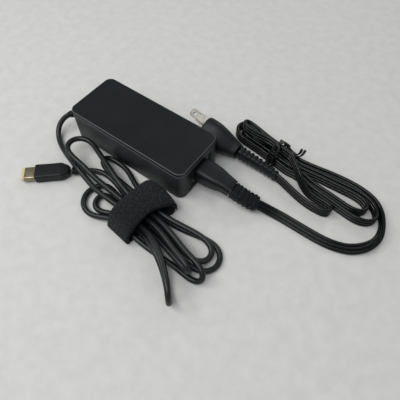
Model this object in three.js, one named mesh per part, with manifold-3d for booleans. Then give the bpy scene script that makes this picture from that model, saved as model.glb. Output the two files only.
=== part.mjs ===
// Laptop power adapter: a two-part case with its electronics, a round low-voltage lead laced into a hank
// under a hook-and-loop strap, and a flat three-core mains lead folded under a twist tie, with its plug.
// Millimetres. The origin is at the centre of the case's underside, +X towards the mains inlet, +Z up.
import * as THREE from "three";
import { mergeVertices } from "three/addons/utils/BufferGeometryUtils.js";
import Module from "manifold-3d";

// ---------------------------------------------------------------- driving dimensions

const gap = 0.3; // between pieces that touch
const ease = 0.15; // half of that gap, at each of two faces that meet

const brick = {
  length: 108,
  width: 46,
  height: 29.5,
  corner: 6, // radius of the four upright edges
  wall: 2.2,
  lid: 3.4, // height of the upper case above the groove
  edge: 0.9, // bevel round the top face
  footEdge: 1.4, // bevel round the underside
  lip: 2.4, // how far the lid's locating rim reaches into the tub
};
const label = { length: 62, width: 30, thick: 0.35, recess: 0.6 };

const board = { length: 98, width: 39, thick: 1.6, z: 4.6 };

const inlet = {
  axisZ: 14.75,
  faceX: 54,
  housing: [16.5, 24, 17.2], // depth, width, height
  recess: [15.6, 11.4, 10.6], // width, height, depth
  corner: 3.4,
  pinRadius: 1.2,
  pinPlaces: [
    ["line", 4.3, -1.8],
    ["neutral", -4.3, -1.8],
    ["earth", 0, 2.2],
  ],
};

const dcLead = { diameter: 4.1, hexRadius: 2.0 };
const mainsLead = { width: 8.4, thick: 2.7 };

// The low-voltage lead's hank. Each slot is a place where a strand crosses the strap: its distance across
// the strap and its height, at the strap's left and right mouth. Each lobe is a bight that leaves the strap
// by one slot and comes back by another. side is +1 for the right of the strap. tip is the bight's far end,
// width the distance between its legs there, tilt how far it stands on edge, over the height of its legs
// halfway, and pull how strongly the legs keep their direction at the mouth and at the tip.
const dcHank = {
  at: [38.5, -51],
  turn: -7,
  half: 10.25,
  spacing: 4.78,
  power: 2,
  squash: 1,
  apart: 18.9,
  rounds: 220,
  floor: 2.07,
  heldFloor: 4.2,
  wall: -25.6,
  steps: 24,
  slots: {
    1: [12.8, 4.4, 8.7, 9.0],
    2: [8.1, 4.4, 8.4, 4.4],
    3: [3.4, 4.4, 3.4, 4.4],
    4: [-1.3, 4.4, -1.3, 4.4],
    5: [-6.0, 4.4, -6.0, 4.4],
    6: [-10.7, 4.4, -10.7, 4.4],
    7: [-15.6, 4.4, -15.4, 4.4],
    8: [3.0, 9.4, 3.6, 9.2],
    9: [-3.0, 9.4, -1.4, 9.2],
    10: [-8.4, 9.4, -8.4, 9.4],
  },
  lobes: [
    { side: 1, out: 10, back: 6, tip: [96.6, -91.2], width: 16, tilt: 89, z: 10.2, over: [17, 9],
      pull: [1.0, 0.7], heading: -46 },
    { side: -1, out: 6, back: 5, tip: [3, -59], width: 17, tilt: 0, z: 2.3, over: [2.6, 2.3],
      pull: [0.5, 0.8] },
    { side: 1, out: 5, back: 9, tip: [95.6, -67.6], width: 8.2, tilt: 86, z: 11, over: [7, 13],
      pull: [0.9, 0.9] },
    { side: -1, out: 9, back: 8, tip: [-43, -35], width: 18.4, tilt: 8, z: 13.2, over: [9, 13.2],
      pull: [1.0, 0.8] },
    { side: 1, out: 8, back: 7, tip: [104.2, -65.8], width: 11.8, tilt: 52, z: 6.8, over: [13, 2.4],
      pull: [0.8, 0.9] },
    { side: -1, out: 7, back: 4, tip: [-6.2, -60], width: 27, tilt: 0, z: 2.2, over: [3.2, 2.6],
      pull: [0.75, 0.75], heading: 186 },
    { side: 1, out: 4, back: 2, tip: [105, -50.6], width: 21.5, tilt: 0, z: 2.2, over: [2.3, 2.3],
      pull: [0.9, 0.9] },
    { side: -1, out: 2, back: 1, tip: [-16.4, -28], width: 14.5, tilt: 20, z: 4.6, over: [7, 3],
      pull: [0.9, 1.3] },
    { side: 1, out: 1, back: 3, tip: [98.4, -50], width: 17, tilt: 0, z: 4.6, over: [7.6, 6.5],
      pull: [0.9, 0.9] },
  ],
};
// The lead's free stretches: out of the strain relief and down to the strap, and from the strap to the
// connector.
const dcStart = [
  [-54.3, -13.6, 14.75], [-57, -13.9, 14.7], [-60.8, -15.4, 14.5], [-65, -18.6, 13], [-67.6, -23.5, 10],
  [-67.6, -29, 6.3], [-63.8, -34.2, 3.4], [-56.5, -39, 2.4], [-47, -43, 3], [-35, -47.2, 6.6],
  [-24.5, -50.3, 8.7], [-12, -53.4, 7.9], [0, -56, 7.8], [12, -57, 8.8],
];
const dcEnd = [
  [18, -45, 3.2], [10, -42.4, 2.2], [1, -40.2, 2.1], [-7, -39.6, 2.1], [-14, -41.1, 2.2], [-19.6, -44.7, 2.2],
  [-24.4, -49.1, 3], [-28.6, -52.95, 3.8],
];

// The mains lead's hank, in the same terms. The flat lead stands on edge.
const mainsHank = {
  at: [91.2, 53.3],
  turn: -10,
  half: 2.5,
  spacing: 3.5,
  power: 4,
  squash: mainsLead.width / mainsLead.thick,
  apart: 14,
  rounds: 260,
  floor: 4.3,
  heldFloor: 5.2,
  wall: null,
  steps: 24,
  slots: {
    1: [-6.9, 5.2, -6.9, 5.2],
    2: [-3.45, 5.2, -3.45, 5.2],
    3: [0, 5.2, 0, 5.2],
    4: [3.45, 5.2, 3.45, 5.2],
    5: [6.9, 5.2, 6.9, 5.2],
    6: [-1.6, 14.8, -1.6, 14.8],
  },
  lobes: [
    { side: -1, out: 5, back: 1, tip: [49.8, 61], width: 15.8, tilt: 0, z: 4.4, over: [4.4, 4.4],
      pull: [0.8, 0.9] },
    { side: 1, out: 1, back: 4, tip: [177.2, 45.5], width: 21, tilt: 0, z: 4.4, over: [4.4, 4.4],
      pull: [0.8, 0.9] },
    { side: -1, out: 4, back: 2, tip: [53.8, 60.6], width: 9, tilt: 0, z: 4.4, over: [4.4, 4.4],
      pull: [0.8, 0.9] },
    { side: 1, out: 2, back: 3, tip: [168.5, 47], width: 12.5, tilt: 0, z: 4.4, over: [4.4, 4.4],
      pull: [0.8, 0.9] },
    { side: -1, out: 3, back: 6, tip: [54.5, 57.4], width: 6.6, tilt: 0, z: 13.6, over: [12.5, 14.2],
      pull: [0.8, 0.9] },
  ],
};
// The first points are the axis of the connector's strain relief, the rest is the lead.
const mainsStart = [
  [80, 0, 13.7], [86, 0.3, 12.1], [92, 1.3, 9.8], [97, 2.8, 7.5], [102, 4.6, 5.5], [110, 6.5, 3.2],
  [120, 7.8, 1.9], [131, 8, 1.55], [142, 8, 1.5], [152, 8.3, 1.5], [162, 9.9, 1.55], [171.5, 13.7, 1.8],
  [179, 20.5, 2.6], [183.4, 30, 3.5], [182.6, 40, 4.2], [178, 50, 4.45], [170, 57.4, 4.45],
  [159, 60.9, 4.45], [146, 61.6, 4.45], [133, 60.6, 4.45], [120, 58.6, 4.6], [108, 57.4, 4.9],
];
const mainsEnd = [
  [101, 49.8, 14.8], [108, 45.2, 14.3], [114, 40.6, 12.5], [120, 37.2, 8.6], [127, 35, 5.7], [135, 34.1, 4.6],
  [142, 34.1, 4.45], [145.6, 33.2, 4.45], [147.2, 30.5, 4.45], [145.6, 27.8, 4.45], [142, 26.9, 4.45],
  [135, 26.6, 4.45], [127, 27.3, 4.6], [118, 29.1, 5.2], [110, 31.1, 5.9], [101.5, 33.1, 6.4],
  [95, 34.1, 6.8], [84, 34.7, 7.4], [74, 34.8, 8.1], [66, 34.9, 8.8],
];
const mainsTwist = { from: 72, to: 110 }; // lengths of lead from the relief between which it turns on edge

const settleStep = 2.5; // length of lead between the points that settle
const mouthRun = 4.5; // how far a strand goes on straight outside the strap or tie

const strap = {
  width: 20.5,
  thick: 1.7,
  leftTop: 20.2,
  rightTop: 17.3,
  frontBottom: -19,
  backBottom: 17.4,
  frontSide: -21.4,
  backSide: 20,
  skew: 5.5, // how far the loose end's corner stands out at the back of the right rim
};

const plugShape = {
  face: [34, 35.85], // the front face's middle
  turn: -6.7,
  roll: 30, // about its own axis, so that it lies on one lower edge
  axisZ: 12.1,
  bladeSpacing: 12.7,
  blade: [17.2, 6.35, 1.5],
  bladeOff: 4.8, // the blades lie behind the body's middle, and the earth pin in front of it
  pinOff: -6.9,
  pinRadius: 2.4,
  pinLength: 20,
};

const dcPlug = {
  tip: [-55.9, -78],
  turn: 42.5,
  z: 3.95,
  shell: [11, 11, 4.5], // length, width, height
  shellWall: 0.45,
  collar: 2.2, // length of the insulator's rim in front of the shell
  body: [25.5, 12.6, 7.7],
};

// ---------------------------------------------------------------- materials

const finish = (color, roughness, metalness = 0) =>
  new THREE.MeshStandardMaterial({ color, roughness, metalness });
const finishes = {
  caseBlack: finish(0x212425, 0.62),
  leadBlack: finish(0x1b1e1f, 0.5),
  rubberBlack: finish(0x1e2021, 0.66),
  webbing: finish(0x202326, 0.92),
  labelGrey: finish(0x2a2d2e, 0.55),
  boardGreen: finish(0x1f5a38, 0.55),
  ferrite: finish(0x33312f, 0.7),
  tape: finish(0xd9b62c, 0.5),
  sleeve: finish(0x262a33, 0.35),
  blueBox: finish(0x3f6f9d, 0.5),
  ceramic: finish(0x2f62a8, 0.45),
  aluminium: finish(0xb9bcc0, 0.38, 1),
  nickel: finish(0xb4b2aa, 0.3, 1),
  brass: finish(0xb0904c, 0.32, 1),
  copper: finish(0x9a5a32, 0.4, 1),
  package: finish(0x1c1c1d, 0.5),
  fishPaper: finish(0xd8d2c0, 0.8),
  tipYellow: finish(0xcfa62a, 0.5),
};

// ---------------------------------------------------------------- solids

const wasm = await Module();
wasm.setup();

// A closed geometry as a solid that can be joined and cut.
function solid(geometry) {
  const bare = geometry.index ? geometry.toNonIndexed() : geometry.clone();
  bare.deleteAttribute("normal");
  bare.deleteAttribute("uv");
  const merged = mergeVertices(bare, 1e-4);
  return new wasm.Manifold(
    new wasm.Mesh({
      numProp: 3,
      vertProperties: merged.attributes.position.array,
      triVerts: new Uint32Array(merged.index.array),
    }),
  );
}

function geometryOf(body) {
  const mesh = body.getMesh();
  const geometry = new THREE.BufferGeometry();
  geometry.setAttribute("position", new THREE.BufferAttribute(mesh.vertProperties, 3));
  geometry.setIndex(new THREE.BufferAttribute(mesh.triVerts, 1));
  geometry.computeVertexNormals();
  return geometry;
}

function cut(geometry, ...tools) {
  return geometryOf(tools.reduce((body, tool) => body.subtract(solid(tool)), solid(geometry)));
}

function join(geometry, ...others) {
  return geometryOf(others.reduce((body, other) => body.add(solid(other)), solid(geometry)));
}

const box = (x, y, z, cx, cy, cz) => new THREE.BoxGeometry(x, y, z).translate(cx, cy, cz);
const spanBox = (a, b) => box(b[0] - a[0], b[1] - a[1], b[2] - a[2],
  (a[0] + b[0]) / 2, (a[1] + b[1]) / 2, (a[2] + b[2]) / 2);

function roundedShape(width, height, radius) {
  const x = width / 2 - radius;
  const y = height / 2 - radius;
  const shape = new THREE.Shape();
  shape.absarc(x, y, radius, 0, Math.PI / 2);
  shape.absarc(-x, y, radius, Math.PI / 2, Math.PI);
  shape.absarc(-x, -y, radius, Math.PI, 1.5 * Math.PI);
  shape.absarc(x, -y, radius, 1.5 * Math.PI, 2 * Math.PI);
  return shape;
}

// The outline's points, [across, up], without the repeats where its arcs meet. A quarter circle has a few
// steps.
function roundedOutline(width, height, radius, steps = 4) {
  const outline = [];
  for (let corner = 0; corner < 4; corner++) {
    const x = (corner === 0 || corner === 3 ? 1 : -1) * (width / 2 - radius);
    const y = (corner < 2 ? 1 : -1) * (height / 2 - radius);
    for (let step = 0; step <= steps; step++) {
      const angle = ((corner + step / steps) * Math.PI) / 2;
      outline.push([x + radius * Math.cos(angle), y + radius * Math.sin(angle)]);
    }
  }
  return outline;
}

// An ellipse-like section whose corners are squarer than an ellipse's.
function softOutline(halfWidth, halfHeight, sides, squareness = 0.72) {
  return Array.from({ length: sides }, (_, i) => {
    const angle = (2 * Math.PI * (i + 0.5)) / sides;
    const x = Math.cos(angle);
    const y = Math.sin(angle);
    return [
      halfWidth * Math.sign(x) * Math.abs(x) ** squareness,
      halfHeight * Math.sign(y) * Math.abs(y) ** squareness,
    ];
  });
}

// A closed solid through rings of equally many points. An endless one closes on its first ring.
function loft(rings, endless = false) {
  const count = rings[0].length;
  const points = rings.flat();
  const faces = [];
  const links = endless ? rings.length : rings.length - 1;
  for (let k = 0; k < links; k++) {
    const low = k * count;
    const high = ((k + 1) % rings.length) * count;
    for (let i = 0; i < count; i++) {
      const next = (i + 1) % count;
      faces.push([low + i, low + next, high + next], [low + i, high + next, high + i]);
    }
  }
  if (!endless) {
    for (const [ring, flip] of [[0, true], [rings.length - 1, false]]) {
      const centre = rings[ring].reduce((sum, p) => sum.add(p), new THREE.Vector3());
      points.push(centre.divideScalar(count));
      for (let i = 0; i < count; i++) {
        const a = ring * count + i;
        const b = ring * count + ((i + 1) % count);
        faces.push(flip ? [points.length - 1, b, a] : [points.length - 1, a, b]);
      }
    }
  }
  const cross = new THREE.Vector3();
  const volume = faces.reduce(
    (sum, [a, b, c]) => sum + cross.crossVectors(points[b], points[c]).dot(points[a]), 0);
  const order = volume < 0 ? ([a, b, c]) => [a, c, b] : (face) => face;
  const geometry = new THREE.BufferGeometry().setFromPoints(points);
  geometry.setIndex(faces.flatMap(order));
  geometry.computeVertexNormals();
  return geometry;
}

// Rings of an upright block: each level is [z, inset].
function block(length, width, corner, levels, steps = 4) {
  return loft(levels.map(([z, inset]) =>
    roundedOutline(length - 2 * inset, width - 2 * inset, Math.max(corner - inset, 0.3), steps)
      .map(([x, y]) => new THREE.Vector3(x, y, z))));
}

// A solid of revolution: profile points are [radius, height] from the axis back to the axis, or a closed
// ring.
const turned = (profile, sides = 20) =>
  new THREE.LatheGeometry(profile.map(([r, h]) => new THREE.Vector2(r, h)), sides);
const rod = (radius, length, sides = 16) =>
  turned([[0, 0], [radius, 0], [radius, length], [0, length]], sides);
const tubeRing = (outer, inner, length, sides = 16) =>
  turned([[inner, 0], [outer, 0], [outer, length], [inner, length], [inner, 0]], sides);

// Lathe geometries turn about Y, so these lay one along X or stand it up along Z.
const alongX = (geometry, x, y, z) => geometry.rotateZ(-Math.PI / 2).translate(x, y, z);
const alongZ = (geometry, x, y, z) => geometry.rotateX(Math.PI / 2).translate(x, y, z);

// ---------------------------------------------------------------- routes

const vector = ([x, y, z]) => new THREE.Vector3(x, y, z);
const up = new THREE.Vector3(0, 0, 1);

// A smooth curve through the points, as short straight stretches.
const smooth = (points, each) =>
  new THREE.CatmullRomCurve3(points, false, "centripetal").getPoints(each * (points.length - 1));

class Route {
  constructor(points) {
    this.points = points;
    this.lengths = [0];
    for (let i = 1; i < points.length; i++)
      this.lengths.push(this.lengths[i - 1] + points[i].distanceTo(points[i - 1]));
    this.length = this.lengths.at(-1);
  }
  at(length) {
    const last = this.points.length - 1;
    let i = this.lengths.findIndex((value) => value > length);
    if (i < 1) i = length <= 0 ? 1 : last;
    const part = (length - this.lengths[i - 1]) / (this.lengths[i] - this.lengths[i - 1]);
    return this.points[i - 1].clone().lerp(this.points[i], part);
  }
  along(length, reach = 0.6) {
    const from = Math.max(length - reach, 0);
    const to = Math.min(length + reach, this.length);
    return this.at(to).sub(this.at(from)).normalize();
  }
  evenly(step) {
    const count = Math.floor(this.length / step);
    return Array.from({ length: count + 1 }, (_, i) => this.at((this.length * i) / count));
  }
  nearest(point) {
    let best = 0;
    this.points.forEach((p, i) => {
      if (p.distanceTo(point) < this.points[best].distanceTo(point)) best = i;
    });
    return this.lengths[best];
  }
}

const stationsBetween = (from, to, count) =>
  Array.from({ length: count + 1 }, (_, i) => from + ((to - from) * i) / count);

// Stations that lie closer together where the route bends.
function bentStations(route, from, to, count) {
  const fine = stationsBetween(from, to, Math.ceil(to - from));
  const weight = [0];
  for (let i = 1; i < fine.length; i++) {
    const turn = route.along(fine[i], 1.5).angleTo(route.along(fine[i - 1], 1.5));
    weight.push(weight[i - 1] + (fine[i] - fine[i - 1]) + 14 * turn);
  }
  const total = weight.at(-1);
  return stationsBetween(0, total, count).map((goal) => {
    const i = Math.max(1, weight.findIndex((w) => w >= goal - 1e-9));
    const part = (goal - weight[i - 1]) / (weight[i] - weight[i - 1]);
    return fine[i - 1] + (fine[i] - fine[i - 1]) * part;
  });
}

// Which way a section's across axis points along a route.
const upright = (tangent) => new THREE.Vector3().crossVectors(tangent, up).normalize();
const carried = (tangent, last) => {
  const start = last ?? upright(tangent);
  return start.clone().addScaledVector(tangent, -start.dot(tangent)).normalize();
};

function sweep(route, stations, section, across = carried) {
  let last = null;
  return loft(stations.map((station, i) => {
    const tangent = route.along(station);
    last = across(tangent, last, station);
    const rise = new THREE.Vector3().crossVectors(last, tangent);
    const centre = route.at(station);
    return section(station, i).map(([a, b]) =>
      centre.clone().addScaledVector(last, a).addScaledVector(rise, b));
  }));
}

const circle = (radius, sides) => Array.from({ length: sides }, (_, i) => {
  const angle = (2 * Math.PI * i) / sides;
  return [radius * Math.cos(angle), radius * Math.sin(angle)];
});

// The flat lead's section with its width along the second axis: six sides in the hank, and a fuller one
// outside.
const flatHex = (() => {
  const t = mainsLead.thick / 2;
  const h = mainsLead.width / 2;
  return [[t, 1.3 - h], [t, h - 1.3], [0, h], [-t, h - 1.3], [-t, 1.3 - h], [0, -h]];
})();
const flatOval = roundedOutline(mainsLead.thick, mainsLead.width, mainsLead.thick / 2 - 0.01, 2);

// ---------------------------------------------------------------- hanks

const radians = (degrees) => (degrees * Math.PI) / 180;

function hankAxes(hank) {
  const turn = radians(hank.turn);
  return [
    new THREE.Vector3(Math.cos(turn), Math.sin(turn), 0),
    new THREE.Vector3(-Math.sin(turn), Math.cos(turn), 0),
  ];
}

function slotPoint(hank, name, along) {
  const [axis, across] = hankAxes(hank);
  const part = THREE.MathUtils.clamp((along / hank.half + 1) / 2, 0, 1);
  const [leftQ, leftZ, rightQ, rightZ] = hank.slots[name];
  return new THREE.Vector3(...hank.at, 0)
    .addScaledVector(axis, along)
    .addScaledVector(across, leftQ + (rightQ - leftQ) * part)
    .addScaledVector(up, leftZ + (rightZ - leftZ) * part);
}

// One bight: out along one leg, round a half turn at the tip, and back along the other leg.
function bight(hank, lobe) {
  const [axis] = hankAxes(hank);
  const mouth = lobe.side * hank.half;
  const start = slotPoint(hank, lobe.out, mouth);
  const end = slotPoint(hank, lobe.back, mouth);
  const tip = new THREE.Vector3(...lobe.tip, 0);
  const heading = lobe.heading === undefined
    ? tip.clone().sub(start.clone().add(end).multiplyScalar(0.5)).setZ(0).normalize()
    : new THREE.Vector3(Math.cos(radians(lobe.heading)), Math.sin(radians(lobe.heading)), 0);
  const left = new THREE.Vector3(-heading.y, heading.x, 0);
  const sign = start.clone().sub(end).dot(left) > 0 ? 1 : -1;
  const spread = left.clone().multiplyScalar(Math.cos(radians(lobe.tilt)))
    .addScaledVector(up, Math.sin(radians(lobe.tilt)));
  const radius = lobe.width / 2;
  const centre = tip.clone().addScaledVector(heading, -radius).addScaledVector(up, lobe.z);
  const leg = (from, side, over) => {
    const to = centre.clone().addScaledVector(spread, side * radius);
    const reach = to.distanceTo(from);
    return [0.22, 0.45, 0.7].map((t) => {
      const point = from.clone().multiplyScalar(2 * t ** 3 - 3 * t ** 2 + 1)
        .addScaledVector(axis, (t ** 3 - 2 * t ** 2 + t) * lobe.side * reach * lobe.pull[0])
        .addScaledVector(to, -2 * t ** 3 + 3 * t ** 2)
        .addScaledVector(heading, (t ** 3 - t ** 2) * reach * lobe.pull[1]);
      point.z = t < 0.5
        ? from.z + (over - from.z) * Math.sin(t * Math.PI)
        : over + (to.z - over) * (t - 0.5) * 2;
      return point;
    });
  };
  const halfTurn = Array.from({ length: 7 }, (_, k) => {
    const angle = Math.PI / 2 - (Math.PI * k) / 6;
    return centre.clone().addScaledVector(heading, radius * Math.cos(angle))
      .addScaledVector(spread, sign * radius * Math.sin(angle));
  });
  return [...leg(start, sign, lobe.over[0]), ...halfTurn, ...leg(end, -sign, lobe.over[1]).reverse()];
}

function lacedPoints(hank) {
  const first = hank.lobes[0];
  const last = hank.lobes.at(-1);
  const points = [slotPoint(hank, first.out, -first.side * hank.half)];
  for (const lobe of hank.lobes) {
    const mouth = lobe.side * hank.half;
    points.push(slotPoint(hank, lobe.out, mouth), ...bight(hank, lobe), slotPoint(hank, lobe.back, mouth));
  }
  points.push(slotPoint(hank, last.back, -last.side * hank.half));
  return points;
}

// How far apart two points of the lead are. On the flat lead height counts for less, as its section is tall.
function between(hank, a, b) {
  const flat = Math.hypot(a.x - b.x, a.y - b.y);
  const rise = Math.abs(a.z - b.z) / hank.squash;
  if (flat > 12 || rise > 12) return { apart: 12, flat, rise };
  return { apart: (flat ** hank.power + rise ** hank.power) ** (1 / hank.power), flat, rise };
}

// The push that moves one point away from another by an amount.
function shove(hank, from, to, gauge, amount) {
  const apart = Math.max(gauge.apart, 1e-6);
  const flat = (amount * (gauge.flat / apart) ** (hank.power - 1)) / Math.max(gauge.flat, 1e-6);
  const rise = amount * (gauge.rise / apart) ** (hank.power - 1) * hank.squash;
  return new THREE.Vector3((from.x - to.x) * flat, (from.y - to.y) * flat, Math.sign(from.z - to.z) * rise);
}

// Lets the laced strands settle beside and on each other, a lead's thickness apart, smooth and above the
// table.
function settle(hank, laced, fixed) {
  const points = new Route(smooth(laced, 8)).evenly(settleStep);
  const skip = Math.ceil(hank.apart / settleStep);
  const [axis] = hankAxes(hank);
  let pairs = [];
  for (let round = 0; round < hank.rounds; round++) {
    if (round % 10 === 0) {
      pairs = [];
      for (let i = 0; i < points.length; i++)
        for (let j = i + skip; j < points.length; j++)
          if (between(hank, points[i], points[j]).apart < hank.spacing + 6) pairs.push([i, j]);
    }
    const pushes = points.map(() => new THREE.Vector3());
    for (const [i, j] of pairs) {
      const gauge = between(hank, points[i], points[j]);
      if (gauge.apart >= hank.spacing) continue;
      const push = shove(hank, points[i], points[j], gauge, (hank.spacing - gauge.apart) * 0.25);
      pushes[i].add(push);
      pushes[j].sub(push);
    }
    points.forEach((point, i) => {
      let nearest = null;
      for (const other of fixed) {
        const gauge = between(hank, point, other);
        if (gauge.apart < hank.spacing && (!nearest || gauge.apart < nearest.apart))
          nearest = { ...gauge, other };
      }
      if (nearest)
        pushes[i].add(shove(hank, point, nearest.other, nearest, (hank.spacing - nearest.apart) * 0.5));
    });
    const free = (i) => i > 2 && i < points.length - 3;
    points.forEach((point, i) => {
      if (free(i)) point.add(pushes[i]);
    });
    const before = points.map((point) => point.clone());
    points.forEach((point, i) => {
      if (!free(i)) return;
      point.addScaledVector(before[i - 2], -1 / 32).addScaledVector(before[i - 1], 4 / 32)
        .addScaledVector(before[i], -6 / 32).addScaledVector(before[i + 1], 4 / 32)
        .addScaledVector(before[i + 2], -1 / 32);
      const offset = (point.x - hank.at[0]) * axis.x + (point.y - hank.at[1]) * axis.y;
      const floor = Math.abs(offset) < hank.half + 1.5 ? hank.heldFloor : hank.floor;
      point.z = Math.max(point.z, floor);
      if (hank.wall !== null && Math.abs(point.x) < brick.length / 2 + 2)
        point.y = Math.min(point.y, hank.wall);
    });
  }
  return points;
}

// A hank's settled route, with the free stretches that run to it and from it.
function layLead(hank, startPoints, endPoints) {
  const first = hank.lobes[0];
  const last = hank.lobes.at(-1);
  const enter = -first.side * hank.half;
  const leave = -last.side * hank.half;
  const start = new Route(smooth([...startPoints.map(vector),
    slotPoint(hank, first.out, enter - first.side * mouthRun), slotPoint(hank, first.out, enter)], 10));
  const end = new Route(smooth([slotPoint(hank, last.back, leave),
    slotPoint(hank, last.back, leave - last.side * mouthRun), ...endPoints.map(vector)], 10));
  const clear = [...start.evenly(1.2).slice(0, -12), ...end.evenly(1.2).slice(12)];
  const laced = settle(hank, lacedPoints(hank), clear);
  return { start, end, hank: new Route(smooth(laced, 3)) };
}

// The least clear distance between two stretches of the hank, measured on points of the tube as it is made.
function leastGap(route, stations, hank, thickness) {
  const rings = stations.map((station) => route.at(station));
  const points = [];
  for (let i = 1; i < rings.length; i++)
    for (let k = 0; k < 5; k++)
      points.push({
        at: rings[i - 1].clone().lerp(rings[i], k / 5),
        along: stations[i - 1] + ((stations[i] - stations[i - 1]) * k) / 5,
      });
  let least = Infinity;
  for (let i = 0; i < points.length; i++)
    for (let j = i + 1; j < points.length; j++)
      if (points[j].along - points[i].along > hank.apart)
        least = Math.min(least, between(hank, points[i].at, points[j].at).apart);
  return least - thickness;
}

// ---------------------------------------------------------------- the assembly

const part = new THREE.Group();
function add(name, geometry, material) {
  const mesh = new THREE.Mesh(geometry, material);
  mesh.name = name;
  part.add(mesh);
}

// ---- case

function makeCase() {
  const seam = brick.height - brick.lid;
  const inner = [brick.length - 2 * brick.wall, brick.width - 2 * brick.wall];
  const innerCorner = brick.corner - brick.wall + 0.6;
  const tub = block(brick.length, brick.width, brick.corner, [
    [0, brick.footEdge], [brick.footEdge * 0.35, brick.footEdge * 0.35], [brick.footEdge, 0],
    [seam - 0.4, 0], [seam, 0.35],
  ]);
  const hollow = block(inner[0], inner[1], innerCorner, [[brick.wall, 0], [seam + 1, 0]], 3);
  const bed = block(label.length + 1.2, label.width + 1.2, 2.6, [[-1, 0], [label.recess, 0]], 3);
  const socketHole = box(8, inlet.housing[1] - 3, inlet.housing[2] - 3, brick.length / 2, 0, inlet.axisZ);
  const leadHole = alongX(rod(4.15, 8, 20), -brick.length / 2 - 4, dcStart[0][1], dcStart[0][2]);
  add("lower_case", cut(tub, hollow, bed, socketHole, leadHole), finishes.caseBlack);

  const cover = block(brick.length, brick.width, brick.corner, [
    [seam + gap, 0.35], [seam + gap + 0.4, 0], [brick.height - brick.edge, 0],
    [brick.height - brick.edge * 0.3, brick.edge * 0.3], [brick.height, brick.edge],
  ]);
  const rimOuter = block(inner[0] - 2 * gap, inner[1] - 2 * gap, innerCorner - gap,
    [[seam - brick.lip, 0.3], [seam - brick.lip + 0.3, 0], [seam + 1, 0]], 3);
  const rimInner = block(inner[0] - 2 * gap - 3, inner[1] - 2 * gap - 3, innerCorner - gap - 1.2,
    [[seam - brick.lip - 1, 0], [seam + brick.lid - 2.2, 0]], 3);
  add("upper_case", cut(join(cover, rimOuter), rimInner), finishes.caseBlack);

  add("rating_label", block(label.length, label.width, 2, [[0.05, 0], [0.05 + label.thick - 0.1, 0]], 3),
    finishes.labelGrey);
}

// ---- electronics on the board

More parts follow.
